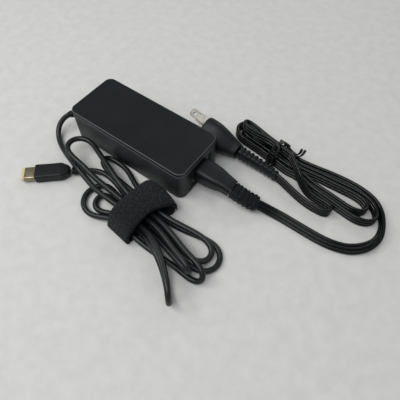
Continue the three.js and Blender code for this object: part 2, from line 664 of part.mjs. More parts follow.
function makeElectronics() {
  const top = board.z + board.thick;
  const rest = top + gap; // components stand just clear of the board
  const sheet = box(board.length - 2, board.width - 1, 0.4, 0, 0, board.z - 1.1);
  add("insulating_sheet", sheet, finishes.fishPaper);

  const plate = new THREE.ExtrudeGeometry(roundedShape(board.length, board.width, 2),
    { depth: board.thick, bevelEnabled: false, curveSegments: 4 }).translate(0, 0, board.z);
  const socketNotch = box(32, inlet.housing[1] + 1, 8, board.length / 2 + 1.5, 0, board.z);
  add("circuit_board", cut(plate, socketNotch), finishes.boardGreen);

  // The transformer: a ferrite core of two E halves round a wound and taped bobbin.
  const transformer = [-10, 0];
  const windows = [-7.3, 7.3].map((x) => box(6.6, 12, 12.2, transformer[0] + x, 0, rest + 9.5));
  add("transformer_core", cut(box(28, 9, 19, transformer[0], 0, rest + 9.5), ...windows), finishes.ferrite);
  const coil = block(20.4, 24, 4, [[rest + 3.9, 0.6], [rest + 4.5, 0], [rest + 14.4, 0], [rest + 15, 0.6]], 3)
    .translate(transformer[0], 0, 0);
  add("transformer_winding", cut(coil, box(8.7, 9.7, 20, transformer[0], 0, rest + 9)), finishes.tape);

  const capRadius = 8.6;
  const bulk = turned([[0, 0], [6.6, 0], [6.9, 0.9], [capRadius - 0.5, 1], [capRadius, 1.5],
    [capRadius, 23.4], [capRadius - 0.5, 23.9], [0, 23.9]], 22);
  add("bulk_capacitor", alongX(bulk, 8.2, -9.8, rest + capRadius), finishes.sleeve);
  const can = () => turned([[0, 0], [3.7, 0], [4, 0.4], [3.75, 0.8], [4, 1.2], [4, 15], [3.6, 15.4],
    [0, 15.4]], 16);
  add("output_capacitor_1", alongZ(can(), -33, -13.4, rest), finishes.sleeve);
  add("output_capacitor_2", alongZ(can(), -42, -13.4, rest), finishes.sleeve);
  add("x_capacitor", box(14, 7.5, 13.5, 15.8, 14.4, rest + 6.75), finishes.blueBox);
  add("y_capacitor", turned([[0, 0], [3.4, 0], [4.2, 0.8], [4.2, 2], [3.4, 2.8], [0, 2.8]], 16)
    .translate(-14, 14, rest + 4.3), finishes.ceramic);
  add("common_mode_choke", alongX(tubeRing(6.8, 3.1, 7.5, 20), 24, 9.8, rest + 7.4), finishes.copper);
  add("fuse", alongX(rod(2.2, 9, 12), 37.6, -15.8, rest + 2.4), finishes.brass);
  add("bridge_rectifier", box(3, 14, 11, 6.1, -9.6, rest + 5.5), finishes.package);
  const drum = turned([[0, 0], [5, 0], [5, 1.4], [3.6, 1.6], [3.6, 8.4], [5, 8.6], [5, 10], [0, 10]], 16);
  add("output_choke", alongZ(drum, -38, 12.4, rest), finishes.ferrite);
  add("optocoupler", box(4.6, 6.4, 3.4, -24, -15, rest + 1.7), finishes.package);
  add("controller_chip", box(4.9, 3.9, 1.6, 24, 0.8, rest + 0.8), finishes.package);

  const sinkHeight = 17;
  const sink = (x0, x1, y, foot) => join(spanBox([x0, y, rest], [x1, y + 1.5, rest + sinkHeight]),
    spanBox([x0, Math.min(y, y + foot), rest + sinkHeight - 1.5],
      [x1, Math.max(y + 1.5, y + foot), rest + sinkHeight]));
  add("primary_heatsink", sink(-5, 8, 17.4, -5.6), finishes.aluminium);
  add("secondary_heatsink", sink(-46.5, -29.5, -3.4, 6), finishes.aluminium);
  const transistor = (x, y) => join(spanBox([x - 5, y, rest + 1.5], [x + 5, y + 4.4, rest + 10.5]),
    spanBox([x - 5, y + 3.2, rest + 10], [x + 5, y + 4.4, rest + 15.2]));
  add("switching_transistor", transistor(1.6, 17.4 - gap - 4.4), finishes.package);
  add("output_rectifier", transistor(-38, -3.4 - gap - 4.4), finishes.package);

  // A folded aluminium sheet under the lid spreads the heat of the board.
  const spread = join(box(94, 37, 0.6, 0, 0, 26.2),
    ...[-18.2, 18.2].map((y) => box(94, 0.6, 2.4, 0, y, 25.1)));
  add("heat_spreader", spread, finishes.aluminium);
}

// ---- mains inlet

function makeInlet() {
  const [depth, width, height] = inlet.housing;
  const [recessWidth, recessHeight, recessDepth] = inlet.recess;
  const standUp = (geometry, x) =>
    geometry.rotateZ(Math.PI / 2).rotateY(Math.PI / 2).translate(x, 0, inlet.axisZ);
  const inner = inlet.faceX - brick.wall - gap;
  const body = box(depth, width, height, inner - depth / 2, 0, inlet.axisZ);
  const nose = box(brick.wall + gap + 0.5, width - 3 - 2 * gap, height - 3 - 2 * gap,
    inlet.faceX - (brick.wall + gap + 0.5) / 2, 0, inlet.axisZ);
  const recess = standUp(new THREE.ExtrudeGeometry(roundedShape(recessWidth, recessHeight, inlet.corner),
    { depth: recessDepth + 2, bevelEnabled: false, curveSegments: 5 }), inlet.faceX - recessDepth);
  const bores = inlet.pinPlaces.map(([, y, z]) =>
    alongX(rod(inlet.pinRadius + gap, 14, 12), inlet.faceX - recessDepth - 11, y, inlet.axisZ + z));
  add("inlet_socket", cut(join(body, nose), recess, ...bores), finishes.package);
  for (const [name, y, z] of inlet.pinPlaces)
    add(`inlet_pin_${name}`, alongX(turned([[0, 0], [inlet.pinRadius, 0], [inlet.pinRadius, 17.4],
      [inlet.pinRadius - 0.6, 18.2], [0, 18.2]], 12), inlet.faceX - 21, y, inlet.axisZ + z), finishes.nickel);
}

// ---- low-voltage lead, its strap and its connector

const reliefShape = (ribs, from, to, base, rib) => {
  const pitch = (to - from) / ribs;
  const rings = [];
  for (let i = 0; i < ribs; i++) {
    const s = from + i * pitch;
    rings.push([s, base], [s + pitch * 0.14, rib], [s + pitch * 0.56, rib], [s + pitch * 0.7, base]);
  }
  return [...rings, [to, base]];
};

function makeDcLead() {
  const lead = layLead(dcHank, dcStart, dcEnd);

  // Strain relief: a flange inside the case, a neck through the wall and a ribbed sleeve that turns with
  // the lead.
  const reliefLength = 12.4;
  const sleeve = reliefShape(4, 3.2, reliefLength - 1.2, 0.82, 1);
  const sleeveAt = [[0, 1.04], [2.2, 1.04], ...sleeve, [reliefLength, 0.8]];
  const relief = sweep(lead.start, sleeveAt.map(([s]) => s), (s, i) =>
    circle((3.65 - 0.085 * s) * sleeveAt[i][1], 14));
  const [, wallY, wallZ] = dcStart[0];
  const neck = alongX(rod(3.5, 4.4, 16), -brick.length / 2 - 0.6, wallY, wallZ);
  const flange = box(1.8, 7, 11.2, -brick.length / 2 + brick.wall + 2 * gap + 1.1, wallY, wallZ);
  add("dc_strain_relief", join(relief, neck, flange), finishes.rubberBlack);

  const radius = dcLead.diameter / 2;
  const plain = (route, from, to, step) =>
    sweep(route, stationsBetween(from, to, Math.round((to - from) / step)), () => circle(radius, 9));
  add("dc_lead_start", plain(lead.start, reliefLength + gap, lead.start.length - ease, 8.2),
    finishes.leadBlack);

  const count = dcHank.steps * dcHank.lobes.length;
  const route = lead.hank;
  const stations = [ease, ease + dcLead.diameter,
    ...bentStations(route, ease + 8, route.length - ease - 8, count - 4),
    route.length - ease - dcLead.diameter, route.length - ease];
  add("dc_lead_hank", sweep(route, stations, () => circle(dcLead.hexRadius, 6)), finishes.leadBlack);
  const least = leastGap(route, stations, dcHank, 2 * dcLead.hexRadius);
  console.log(`low-voltage hank: least gap ${least.toFixed(2)} mm, length ${route.length.toFixed(0)} mm`);

  const reliefFrom = lead.end.nearest(new THREE.Vector3(-25.4, -50, 3.2));
  add("dc_lead_end", plain(lead.end, ease, reliefFrom - gap, 8.2), finishes.leadBlack);
  const ribs = reliefShape(3, reliefFrom, lead.end.length - 0.2, 0.84, 1);
  add("dc_connector_relief", sweep(lead.end, ribs.map(([s]) => s), (s, i) =>
    softOutline(3.4 * ribs[i][1], 2.7 * ribs[i][1], 12)), finishes.rubberBlack);
  const ends = [lead.start.length, lead.end.length].map((value) => value.toFixed(0));
  console.log(`low-voltage lead: start ${ends[0]} mm, end ${ends[1]} mm`);
}

// The strap's outline round the strands at one of its rims: [across, up], for the outside or the inside.
function strapOutline(crown, inset) {
  const bottom = 0.1 + inset;
  const top = crown - inset;
  const front = strap.frontSide + inset;
  const back = strap.backSide - inset;
  const corners = [
    [strap.frontBottom + 2, bottom], [strap.backBottom - 2, bottom],
    [strap.backBottom + 1.4 - inset, bottom + 1.6], [back, 6], [back - 0.6, 9.4],
    [back - 4.2, top - 3.2], [back - 10.5, top - 0.7], [0, top], [front + 11, top - 1.2],
    [front + 5, top - 4.6], [front + 0.9, 7.8], [front, 4.6],
    [strap.frontBottom - 1.2 + inset, bottom + 1.5],
  ];
  const curve = new THREE.CatmullRomCurve3(corners.map(([q, z]) => new THREE.Vector3(q, z, 0)), true,
    "centripetal");
  return curve.getPoints(corners.length * 3).slice(0, -1).map((p) => [p.x, Math.max(p.y, bottom)]);
}

function makeStrap() {
  const [axis, across] = hankAxes(dcHank);
  const rims = [[-strap.width / 2, strap.leftTop], [0, (strap.leftTop + strap.rightTop) / 2 + 0.5],
    [strap.width / 2, strap.rightTop]];
  const out = (along, q) => (along > 0 ? strap.skew * THREE.MathUtils.smoothstep(q, 0, strap.backSide) : 0);
  const ring = (along, crown, inset) => strapOutline(crown, inset).map(([q, z]) =>
    new THREE.Vector3(...dcHank.at, z).addScaledVector(axis, along + out(along, q))
      .addScaledVector(across, q));
  const outside = rims.map(([along, crown]) => ring(along, crown, 0));
  const inside = rims.map(([along, crown]) => ring(along, crown, strap.thick)).reverse();
  add("hook_and_loop_strap", loft([...outside, ...inside], true), finishes.webbing);
}

function makeDcConnector() {
  const turn = radians(dcPlug.turn);
  const place = (geometry, along, lift = 0) => geometry.translate(along, 0, lift).rotateZ(turn)
    .translate(dcPlug.tip[0], dcPlug.tip[1], dcPlug.z);
  const lay = (geometry) => geometry.rotateZ(Math.PI / 2).rotateY(Math.PI / 2); // extruded up: now along +X
  const [shellLength, shellWidth, shellHeight] = dcPlug.shell;
  const wall = dcPlug.shellWall;
  const plate = (width, height, radius, depth) => lay(new THREE.ExtrudeGeometry(
    roundedShape(width, height, radius), { depth, bevelEnabled: false, curveSegments: 4 }));
  const shellFrom = dcPlug.collar + gap;
  const shell = cut(plate(shellWidth, shellHeight, 1.2, shellLength + 3.5 - shellFrom),
    plate(shellWidth - 2 * wall, shellHeight - 2 * wall, 0.9, shellLength + 5).translate(-1, 0, 0));
  add("dc_connector_shell", place(shell, shellFrom), finishes.nickel);
  const collar = plate(shellWidth, shellHeight, 1.2, dcPlug.collar);
  const tongue = plate(shellWidth - 2 * wall - 2 * gap, shellHeight - 2 * wall - 2 * gap, 0.7, shellLength);
  const core = cut(join(tongue, collar), plate(6.4, 1.5, 0.7, 9).translate(-1, 0, 0));
  add("dc_connector_insulator", place(core, 0), finishes.tipYellow);
  add("dc_connector_contact", place(box(6.2, 4.6, 0.5, 4.4, 0, 0), 0), finishes.brass);

  const [length, width, height] = dcPlug.body;
  const rows = [[0, 0.9, 0.88], [0.6, 0.98, 0.97], [2, 1, 1], [14, 1, 1], [19.6, 0.98, 0.97],
    [22.8, 0.88, 0.88], [24.6, 0.68, 0.74], [length, 0.5, 0.6]];
  const hull = loft(rows.map(([x, w, h]) => softOutline((width / 2) * w, (height / 2) * h, 24, 0.55)
    .map(([y, z]) => new THREE.Vector3(x, y, z))));
  const socket = plate(shellWidth + 2 * gap, shellHeight + 2 * gap, 1.3, 6.4).translate(-1.4, 0, 0);
  add("dc_connector_body", place(cut(hull, socket), shellLength - 1), finishes.rubberBlack);
}

// ---- mains connector, lead, twist tie and plug

function makeMainsLead() {
  const lead = layLead(mainsHank, mainsStart, mainsEnd);
  const { axisZ, faceX, recess, corner, pinPlaces, pinRadius } = inlet;

  // The appliance connector: a nose in the inlet's recess, and a grip that tapers to the strain relief.
  const reliefEnd = lead.start.nearest(new THREE.Vector3(102, 4.6, 5.5));
  const grip = [ // along X, half width, half height, lean
    [54.4, 8.1, 6.7, 0], [55.2, 8.5, 7.1, 0], [63, 8.6, 7.2, 0], [69, 7.9, 6.6, 0.05], [75, 6.7, 5.6, 0.14],
    [80, 6.2, 5, 0.24], [82.4, 6.1, 4.8, 0.27],
  ];
  const drop = (x) => (x < 72 ? 0 : -0.0115 * (x - 72) ** 2);
  const gripBody = loft(grip.map(([x, w, h, lean]) => softOutline(w, h, 24, 0.62)
    .map(([y, z]) => new THREE.Vector3(x + lean * z, y, axisZ + drop(x) + z))));
  const noseShape = roundedShape(recess[0] - 2 * gap, recess[1] - 2 * gap, corner - gap);
  const nose = new THREE.ExtrudeGeometry(noseShape, { depth: 12, bevelEnabled: false, curveSegments: 5 })
    .rotateZ(Math.PI / 2).rotateY(Math.PI / 2).translate(faceX - recess[2] + gap, 0, axisZ);
  const bores = pinPlaces.map(([, y, z]) =>
    alongX(rod(pinRadius + 3 * gap + 0.35, 13, 12), faceX - recess[2] - 1, y, axisZ + z));
  add("mains_connector_body", cut(join(gripBody, nose), ...bores), finishes.rubberBlack);
  for (const [name, y, z] of pinPlaces)
    add(`mains_contact_${name}`, alongX(tubeRing(pinRadius + gap + 0.35, pinRadius + gap, 9.5, 12),
      faceX - recess[2] + 1, y, axisZ + z), finishes.brass);

  const reliefRibs = reliefShape(6, 3, reliefEnd - 0.4, 0.86, 1);
  const reliefAt = [...reliefRibs, [reliefEnd, 0.8]];
  const relief = sweep(lead.start, reliefAt.map(([s]) => s), (s, i) =>
    softOutline(6.5 * reliefAt[i][1], (4.6 - 0.03 * s) * reliefAt[i][1], 14, 0.7), upright);
  add("mains_connector_relief", relief, finishes.rubberBlack);

  // The flat lead lies flat from the relief, turns on edge, and stays so round the hank.
  const twisted = (offset) => (tangent, last, station) => {
    const part = THREE.MathUtils.smoothstep(station - offset, mainsTwist.from, mainsTwist.to);
    const angle = (1 - part) * (Math.PI / 2);
    return upright(tangent).applyAxisAngle(tangent, angle);
  };
  const begin = reliefEnd + gap;
  add("mains_lead_start", sweep(lead.start, bentStations(lead.start, begin, lead.start.length - ease, 26),
    () => flatOval, twisted(begin)), finishes.leadBlack);

  const count = mainsHank.steps * mainsHank.lobes.length;
  const route = lead.hank;
  const stations = [ease, ease + mainsLead.thick,
    ...bentStations(route, ease + 4, route.length - ease - 4, count - 4),
    route.length - ease - mainsLead.thick, route.length - ease];
  add("mains_lead_hank", sweep(route, stations, () => flatHex, upright), finishes.leadBlack);
  const least = leastGap(route, stations, mainsHank, mainsLead.thick);
  console.log(`mains hank: least gap ${least.toFixed(2)} mm, length ${route.length.toFixed(0)} mm`);

  const plugRelief = lead.end.nearest(new THREE.Vector3(101.5, 33.1, 6.4));
  const last = lead.end.length;
  add("mains_lead_end", sweep(lead.end, bentStations(lead.end, ease, plugRelief - gap, 30),
    () => flatOval, upright), finishes.leadBlack);
  const plugRibs = reliefShape(9, plugRelief + 0.8, last - 1.2, 0.84, 1);
  const plugReliefAt = [[plugRelief, 0.78], ...plugRibs];
  add("plug_relief", sweep(lead.end, plugReliefAt.map(([s]) => s), (s, i) => {
    const swell = (s - plugRelief) / (last - plugRelief);
    return softOutline((3 + 2 * swell) * plugReliefAt[i][1], (5 + 0.6 * swell) * plugReliefAt[i][1], 12, 0.8);
  }, upright), finishes.rubberBlack);
  const ends = [lead.start.length - reliefEnd, plugRelief].map((value) => value.toFixed(0));
  console.log(`mains lead: start ${ends[0]} mm, end ${ends[1]} mm`);
}

function makeTwistTie() {
  const [axis, across] = hankAxes(mainsHank);
  const place = (along, q, z) => new THREE.Vector3(...mainsHank.at, z)
    .addScaledVector(axis, along).addScaledVector(across, q);
  const corners = [[-9.1, 0.55], [8.9, 0.55], [9.5, 1.2], [9.6, 9.4], [9, 10.8], [3.6, 17.8], [1, 19.9],
    [-4, 19.9], [-5, 18.6], [-9.8, 10.6], [-9.9, 1.2]];
  const half = { along: 1.6, thick: 0.3 };
  const ringPoints = corners.map(([q, z]) => place(0, q, z));
  const rings = ringPoints.map((point, i) => {
    const before = ringPoints.at(i - 1);
    const after = ringPoints[(i + 1) % ringPoints.length];
    const tangent = after.clone().sub(before).normalize();
    const out = new THREE.Vector3().crossVectors(axis, tangent);
    return [[-1, -1], [1, -1], [1, 1], [-1, 1]].map(([a, b]) => point.clone()
      .addScaledVector(axis, a * half.along).addScaledVector(out, b * half.thick));
  });
  const tails = [[[0, 8.1, 12.2], [3.6, 9.2, 14.2], [9.4, 8.8, 14.6], [13.2, 10.4, 17.6]],
    [[0, 8.1, 11.8], [4.4, 9.8, 12.6], [10.6, 8.6, 13.6], [17, 11, 18.2]]].map((list) => {
    const tail = new Route(smooth(list.map(([along, q, z]) => place(along, q, z)), 6));
    return sweep(tail, stationsBetween(0, tail.length, 8), () => circle(0.85, 6));
  });
  add("twist_tie", join(loft(rings, true), ...tails), finishes.leadBlack);
}

function makePlug() {
  const turn = radians(plugShape.turn);
  const [faceX, faceY] = plugShape.face;
  const roll = radians(plugShape.roll);
  const place = (geometry) => geometry.rotateZ(turn).translate(faceX, faceY, plugShape.axisZ);
  const rows = [ // along the axis from the face, half width, half height, sideways, drop
    [0, 9.5, 10.3, 0, 0], [0.8, 10.2, 10.9, 0, 0], [3, 10.4, 11.1, 0, 0], [10, 10.3, 11, 0.2, 0],
    [16, 9.6, 10.1, 0.7, -1], [22, 8.3, 8.6, 1.4, -2.2], [27.4, 6.8, 7, 2.3, -3.1],
    [31.4, 5.7, 6, 2.9, -3.3],
  ];
  const hull = loft(rows.map(([x, w, h, side, sink]) => softOutline(w, h, 26, 0.66)
    .map(([y, z]) => new THREE.Vector3(x, y * Math.cos(roll) - z * Math.sin(roll) + side,
      y * Math.sin(roll) + z * Math.cos(roll) + sink))));
  const [length, width, thick] = plugShape.blade;
  const root = 9;
  const slots = [-1, 1].map((sign) => box(root + 1, width + 2 * gap, thick + 2 * gap, (root + 1) / 2 - 1,
    plugShape.bladeOff, (sign * plugShape.bladeSpacing) / 2));
  const pinHole = alongX(rod(plugShape.pinRadius + gap, root + 1, 16), -1, plugShape.pinOff, 0);
  const rolled = (geometry) => geometry.rotateX(roll);
  add("plug_body", place(cut(hull, ...[...slots, pinHole].map(rolled))), finishes.rubberBlack);

  for (const [name, sign] of [["plug_blade_upper", 1], ["plug_blade_lower", -1]]) {
    const outline = new THREE.Shape();
    const w = width / 2;
    [[root - gap, -w], [root - gap, w], [1.4 - length, w], [-length, w - 1.4], [-length, 1.4 - w],
      [1.4 - length, -w]].forEach(([x, y], i) => (i ? outline.lineTo(x, y) : outline.moveTo(x, y)));
    outline.holes.push(new THREE.Path().absarc(4.4 - length, 0, 1.55, 0, 2 * Math.PI));
    const blade = new THREE.ExtrudeGeometry(outline, { depth: thick, bevelEnabled: false, curveSegments: 8 })
      .translate(0, plugShape.bladeOff, (sign * plugShape.bladeSpacing) / 2 - thick / 2);
    add(name, place(rolled(blade)), finishes.nickel);
  }
  const r = plugShape.pinRadius;
  add("plug_earth_pin", place(rolled(alongX(turned([[0, 0], [r * 0.55, 0.4], [r * 0.9, 1.6], [r, 3.2],
    [r, plugShape.pinLength + root - gap], [0, plugShape.pinLength + root - gap]], 16),
  -plugShape.pinLength, plugShape.pinOff, 0))), finishes.nickel);
}

makeCase();
makeElectronics();
makeInlet();
makeDcLead();
makeStrap();
makeDcConnector();
makeMainsLead();
makeTwistTie();
makePlug();

export default part;
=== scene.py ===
import math

import bpy
import numpy as np
from mathutils import Matrix, Vector


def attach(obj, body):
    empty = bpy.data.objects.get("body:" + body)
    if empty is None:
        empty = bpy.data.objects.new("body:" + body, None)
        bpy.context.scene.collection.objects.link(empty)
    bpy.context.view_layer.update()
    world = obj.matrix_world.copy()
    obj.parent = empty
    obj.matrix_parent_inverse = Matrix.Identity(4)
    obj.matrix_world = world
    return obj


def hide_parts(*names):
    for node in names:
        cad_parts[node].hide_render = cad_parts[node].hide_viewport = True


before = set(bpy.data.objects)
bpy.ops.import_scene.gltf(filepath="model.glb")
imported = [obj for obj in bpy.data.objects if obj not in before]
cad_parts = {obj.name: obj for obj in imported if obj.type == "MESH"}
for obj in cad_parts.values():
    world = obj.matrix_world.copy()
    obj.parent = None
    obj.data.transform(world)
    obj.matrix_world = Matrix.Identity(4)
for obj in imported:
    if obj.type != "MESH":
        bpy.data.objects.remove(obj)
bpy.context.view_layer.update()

mm = 0.001  # everything below is measured in millimetres and built in metres


def addObject(name, data):
    thing = bpy.data.objects.new(name, data)
    bpy.context.scene.collection.objects.link(thing)
    return thing


def lookFrom(place, aim, roll=0):
    # where a camera or a lamp stands and which way it looks
    place, aim = Vector(place) * mm, Vector(aim) * mm
    turn = (aim - place).to_track_quat("-Z", "Y").to_matrix().to_4x4()
    return Matrix.Translation(place) @ turn @ Matrix.Rotation(math.radians(roll), 4, "Z")


print("stage: camera")

view = {
    "place": (151.242, -138.146, 243.36),
    "aim": (64.351, -14.343, 0),
    "roll": 1.112,
    "lens": 34.65,
    "sensor": 36,
    "nearest": 0.01,  # metres
}


def addCamera():
    data = bpy.data.cameras.new("camera")
    data.lens = view["lens"]
    data.sensor_width = view["sensor"]
    data.clip_start = view["nearest"]
    camera = addObject("camera", data)
    camera.matrix_world = lookFrom(view["place"], view["aim"], view["roll"])
    bpy.context.scene.camera = camera


addCamera()

print("stage: materials")

threadMap = "threads"  # UVs of the webbing, in millimetres


def feed(tree, node, inputs):
    # each input takes a number, a colour or the output of another node
    for name, value in inputs.items():
        if isinstance(value, bpy.types.NodeSocket):
            tree.links.new(value, node.inputs[name])
        else:
            node.inputs[name].default_value = value


def addNode(tree, kind, inputs=None, **settings):
    node = tree.nodes.new(kind)
    for name, value in settings.items():
        setattr(node, name, value)
    feed(tree, node, inputs or {})
    return node


def mathNode(tree, operation, first, second, clamp=False):
    node = addNode(tree, "ShaderNodeMath", {0: first, 1: second}, operation=operation, use_clamp=clamp)
    return node.outputs[0]


def mixColor(tree, amount, first, second):
    return addNode(tree, "ShaderNodeMix", {0: amount, 6: first, 7: second}, data_type="RGBA").outputs[2]


def noise(tree, place, scale, detail, roughness=0.5):
    inputs = {"Vector": place, "Scale": scale, "Detail": detail, "Roughness": roughness}
    return addNode(tree, "ShaderNodeTexNoise", inputs).outputs["Fac"]


def stretch(tree, value, low, high, toLow=0, toHigh=1):
    inputs = {"Value": value, "From Min": low, "From Max": high, "To Min": toLow, "To Max": toHigh}
    return addNode(tree, "ShaderNodeMapRange", inputs).outputs["Result"]


def bumpNormal(tree, height, strength, distance):
    inputs = {"Height": height, "Strength": strength, "Distance": distance}
    return addNode(tree, "ShaderNodeBump", inputs).outputs["Normal"]


def objectPlace(tree):
    return addNode(tree, "ShaderNodeTexCoord").outputs["Object"]


def makeGroup(name, inputs, build):
    # build takes the tree and its inputs, and gives the outputs by name
    tree = bpy.data.node_groups.new(name, "ShaderNodeTree")
    for label, value in inputs.items():
        tree.interface.new_socket(label, in_out="INPUT", socket_type="NodeSocketFloat").default_value = value
    outputs = build(tree, tree.nodes.new("NodeGroupInput").outputs)
    for label in outputs:
        kind = "NodeSocketVector" if label == "Normal" else "NodeSocketFloat"
        tree.interface.new_socket(label, in_out="OUTPUT", socket_type=kind)
    feed(tree, tree.nodes.new("NodeGroupOutput"), outputs)
    return tree


def mouldGrainNodes(tree, start):
    # the fine matt grain of a moulding, with slow changes of tone
    place = objectPlace(tree)
    fine = noise(tree, place, start["Grain Scale"], detail=3, roughness=0.6)
    return {"Mottle": noise(tree, place, start["Mottle Scale"], detail=4, roughness=0.55),
            "Normal": bumpNormal(tree, fine, start["Depth"], distance=0.0001)}


def edgeHighlightAndWearNodes(tree, start):
    # worn edges from the edge attribute of a mesh, painted lighter, partly as a painted highlight along them,
    # and faint scratches all over
    place = objectPlace(tree)
    edge = addNode(tree, "ShaderNodeAttribute", attribute_name="edge").outputs["Fac"]
    patchy = mathNode(tree, "ADD", noise(tree, place, scale=240, detail=4, roughness=0.7), 0.35)
    rubbedAndLit = mathNode(tree, "MULTIPLY", edge, patchy)
    streaks = {"Vector": place, "Rotation": (0.3, 0.2, 0.9), "Scale": (90, 1500, 700)}
    line = noise(tree, addNode(tree, "ShaderNodeMapping", streaks).outputs["Vector"], scale=1, detail=2)
    thin = stretch(tree, line, low=0.69, high=0.76)
    return {"Worn And Lit": mathNode(tree, "MULTIPLY", rubbedAndLit, start["Edge Highlight Amount"], clamp=True),
            "Scratch": mathNode(tree, "MULTIPLY", thin, start["Scratch Amount"])}


def dustNodes(tree, start):
    # settled dust: on what faces up, in patches and specks
    place = objectPlace(tree)
    normal = addNode(tree, "ShaderNodeNewGeometry").outputs["Normal"]
    upward = addNode(tree, "ShaderNodeSeparateXYZ", {0: normal}).outputs["Z"]
    facing = mathNode(tree, "POWER", mathNode(tree, "MAXIMUM", upward, 0), 2)
    patches = noise(tree, place, scale=110, detail=6, roughness=0.7)
    fine = noise(tree, place, scale=2600, detail=2, roughness=0.8)
    specks = stretch(tree, fine, low=0.55, high=0.75, toLow=0.35)
    lying = mathNode(tree, "MULTIPLY", mathNode(tree, "MULTIPLY", patches, specks), facing)
    return {"Dust": mathNode(tree, "MULTIPLY", lying, start["Amount"], clamp=True)}


def weaveNodes(tree, start):
    # a webbing's threads under its loose pile
    place = addNode(tree, "ShaderNodeUVMap", uv_map=threadMap).outputs["UV"]
    split = addNode(tree, "ShaderNodeSeparateXYZ", {0: place}).outputs
    waves = []
    for axis in "XY":
        turns = mathNode(tree, "DIVIDE", split[axis], start["Pitch"])
        waves.append(mathNode(tree, "SINE", mathNode(tree, "MULTIPLY", turns, math.tau), 0))
    checker = mathNode(tree, "MULTIPLY", *waves)
    raised = mathNode(tree, "ADD", mathNode(tree, "MULTIPLY", checker, 0.5), 0.5)
    tufts = stretch(tree, noise(tree, place, scale=0.8, detail=3, roughness=0.7), low=0.46, high=0.6)
    loose = mathNode(tree, "MULTIPLY", tufts, start["Fuzz"])
    height = mathNode(tree, "ADD", mathNode(tree, "MULTIPLY", raised, 0.35), loose)
    return {"Thread": mathNode(tree, "MULTIPLY", height, 0.75, clamp=True),
            "Tone": noise(tree, place, scale=0.35, detail=3),
            "Normal": bumpNormal(tree, height, start["Depth"], distance=0.0004)}


mouldGrain = makeGroup("mouldGrain", {"Grain Scale": 4000, "Mottle Scale": 60, "Depth": 0.3}, mouldGrainNodes)
edgeHighlightAndWear = makeGroup("edgeHighlightAndWear", {"Edge Highlight Amount": 0.5, "Scratch Amount": 0.1}, edgeHighlightAndWearNodes)
dust = makeGroup("dust", {"Amount": 0.1}, dustNodes)
weave = makeGroup("weave", {"Pitch": 0.9, "Depth": 0.8, "Fuzz": 0.4}, weaveNodes)


def useGroup(tree, group, inputs):
    return addNode(tree, "ShaderNodeGroup", inputs, node_tree=group).outputs


def linear(color):
    # the light that a screen colour of 0 to 255 stands for
    return tuple(((c / 255 + 0.055) / 1.055) ** 2.4 if c > 10 else c / 255 / 12.92 for c in color) + (1,)


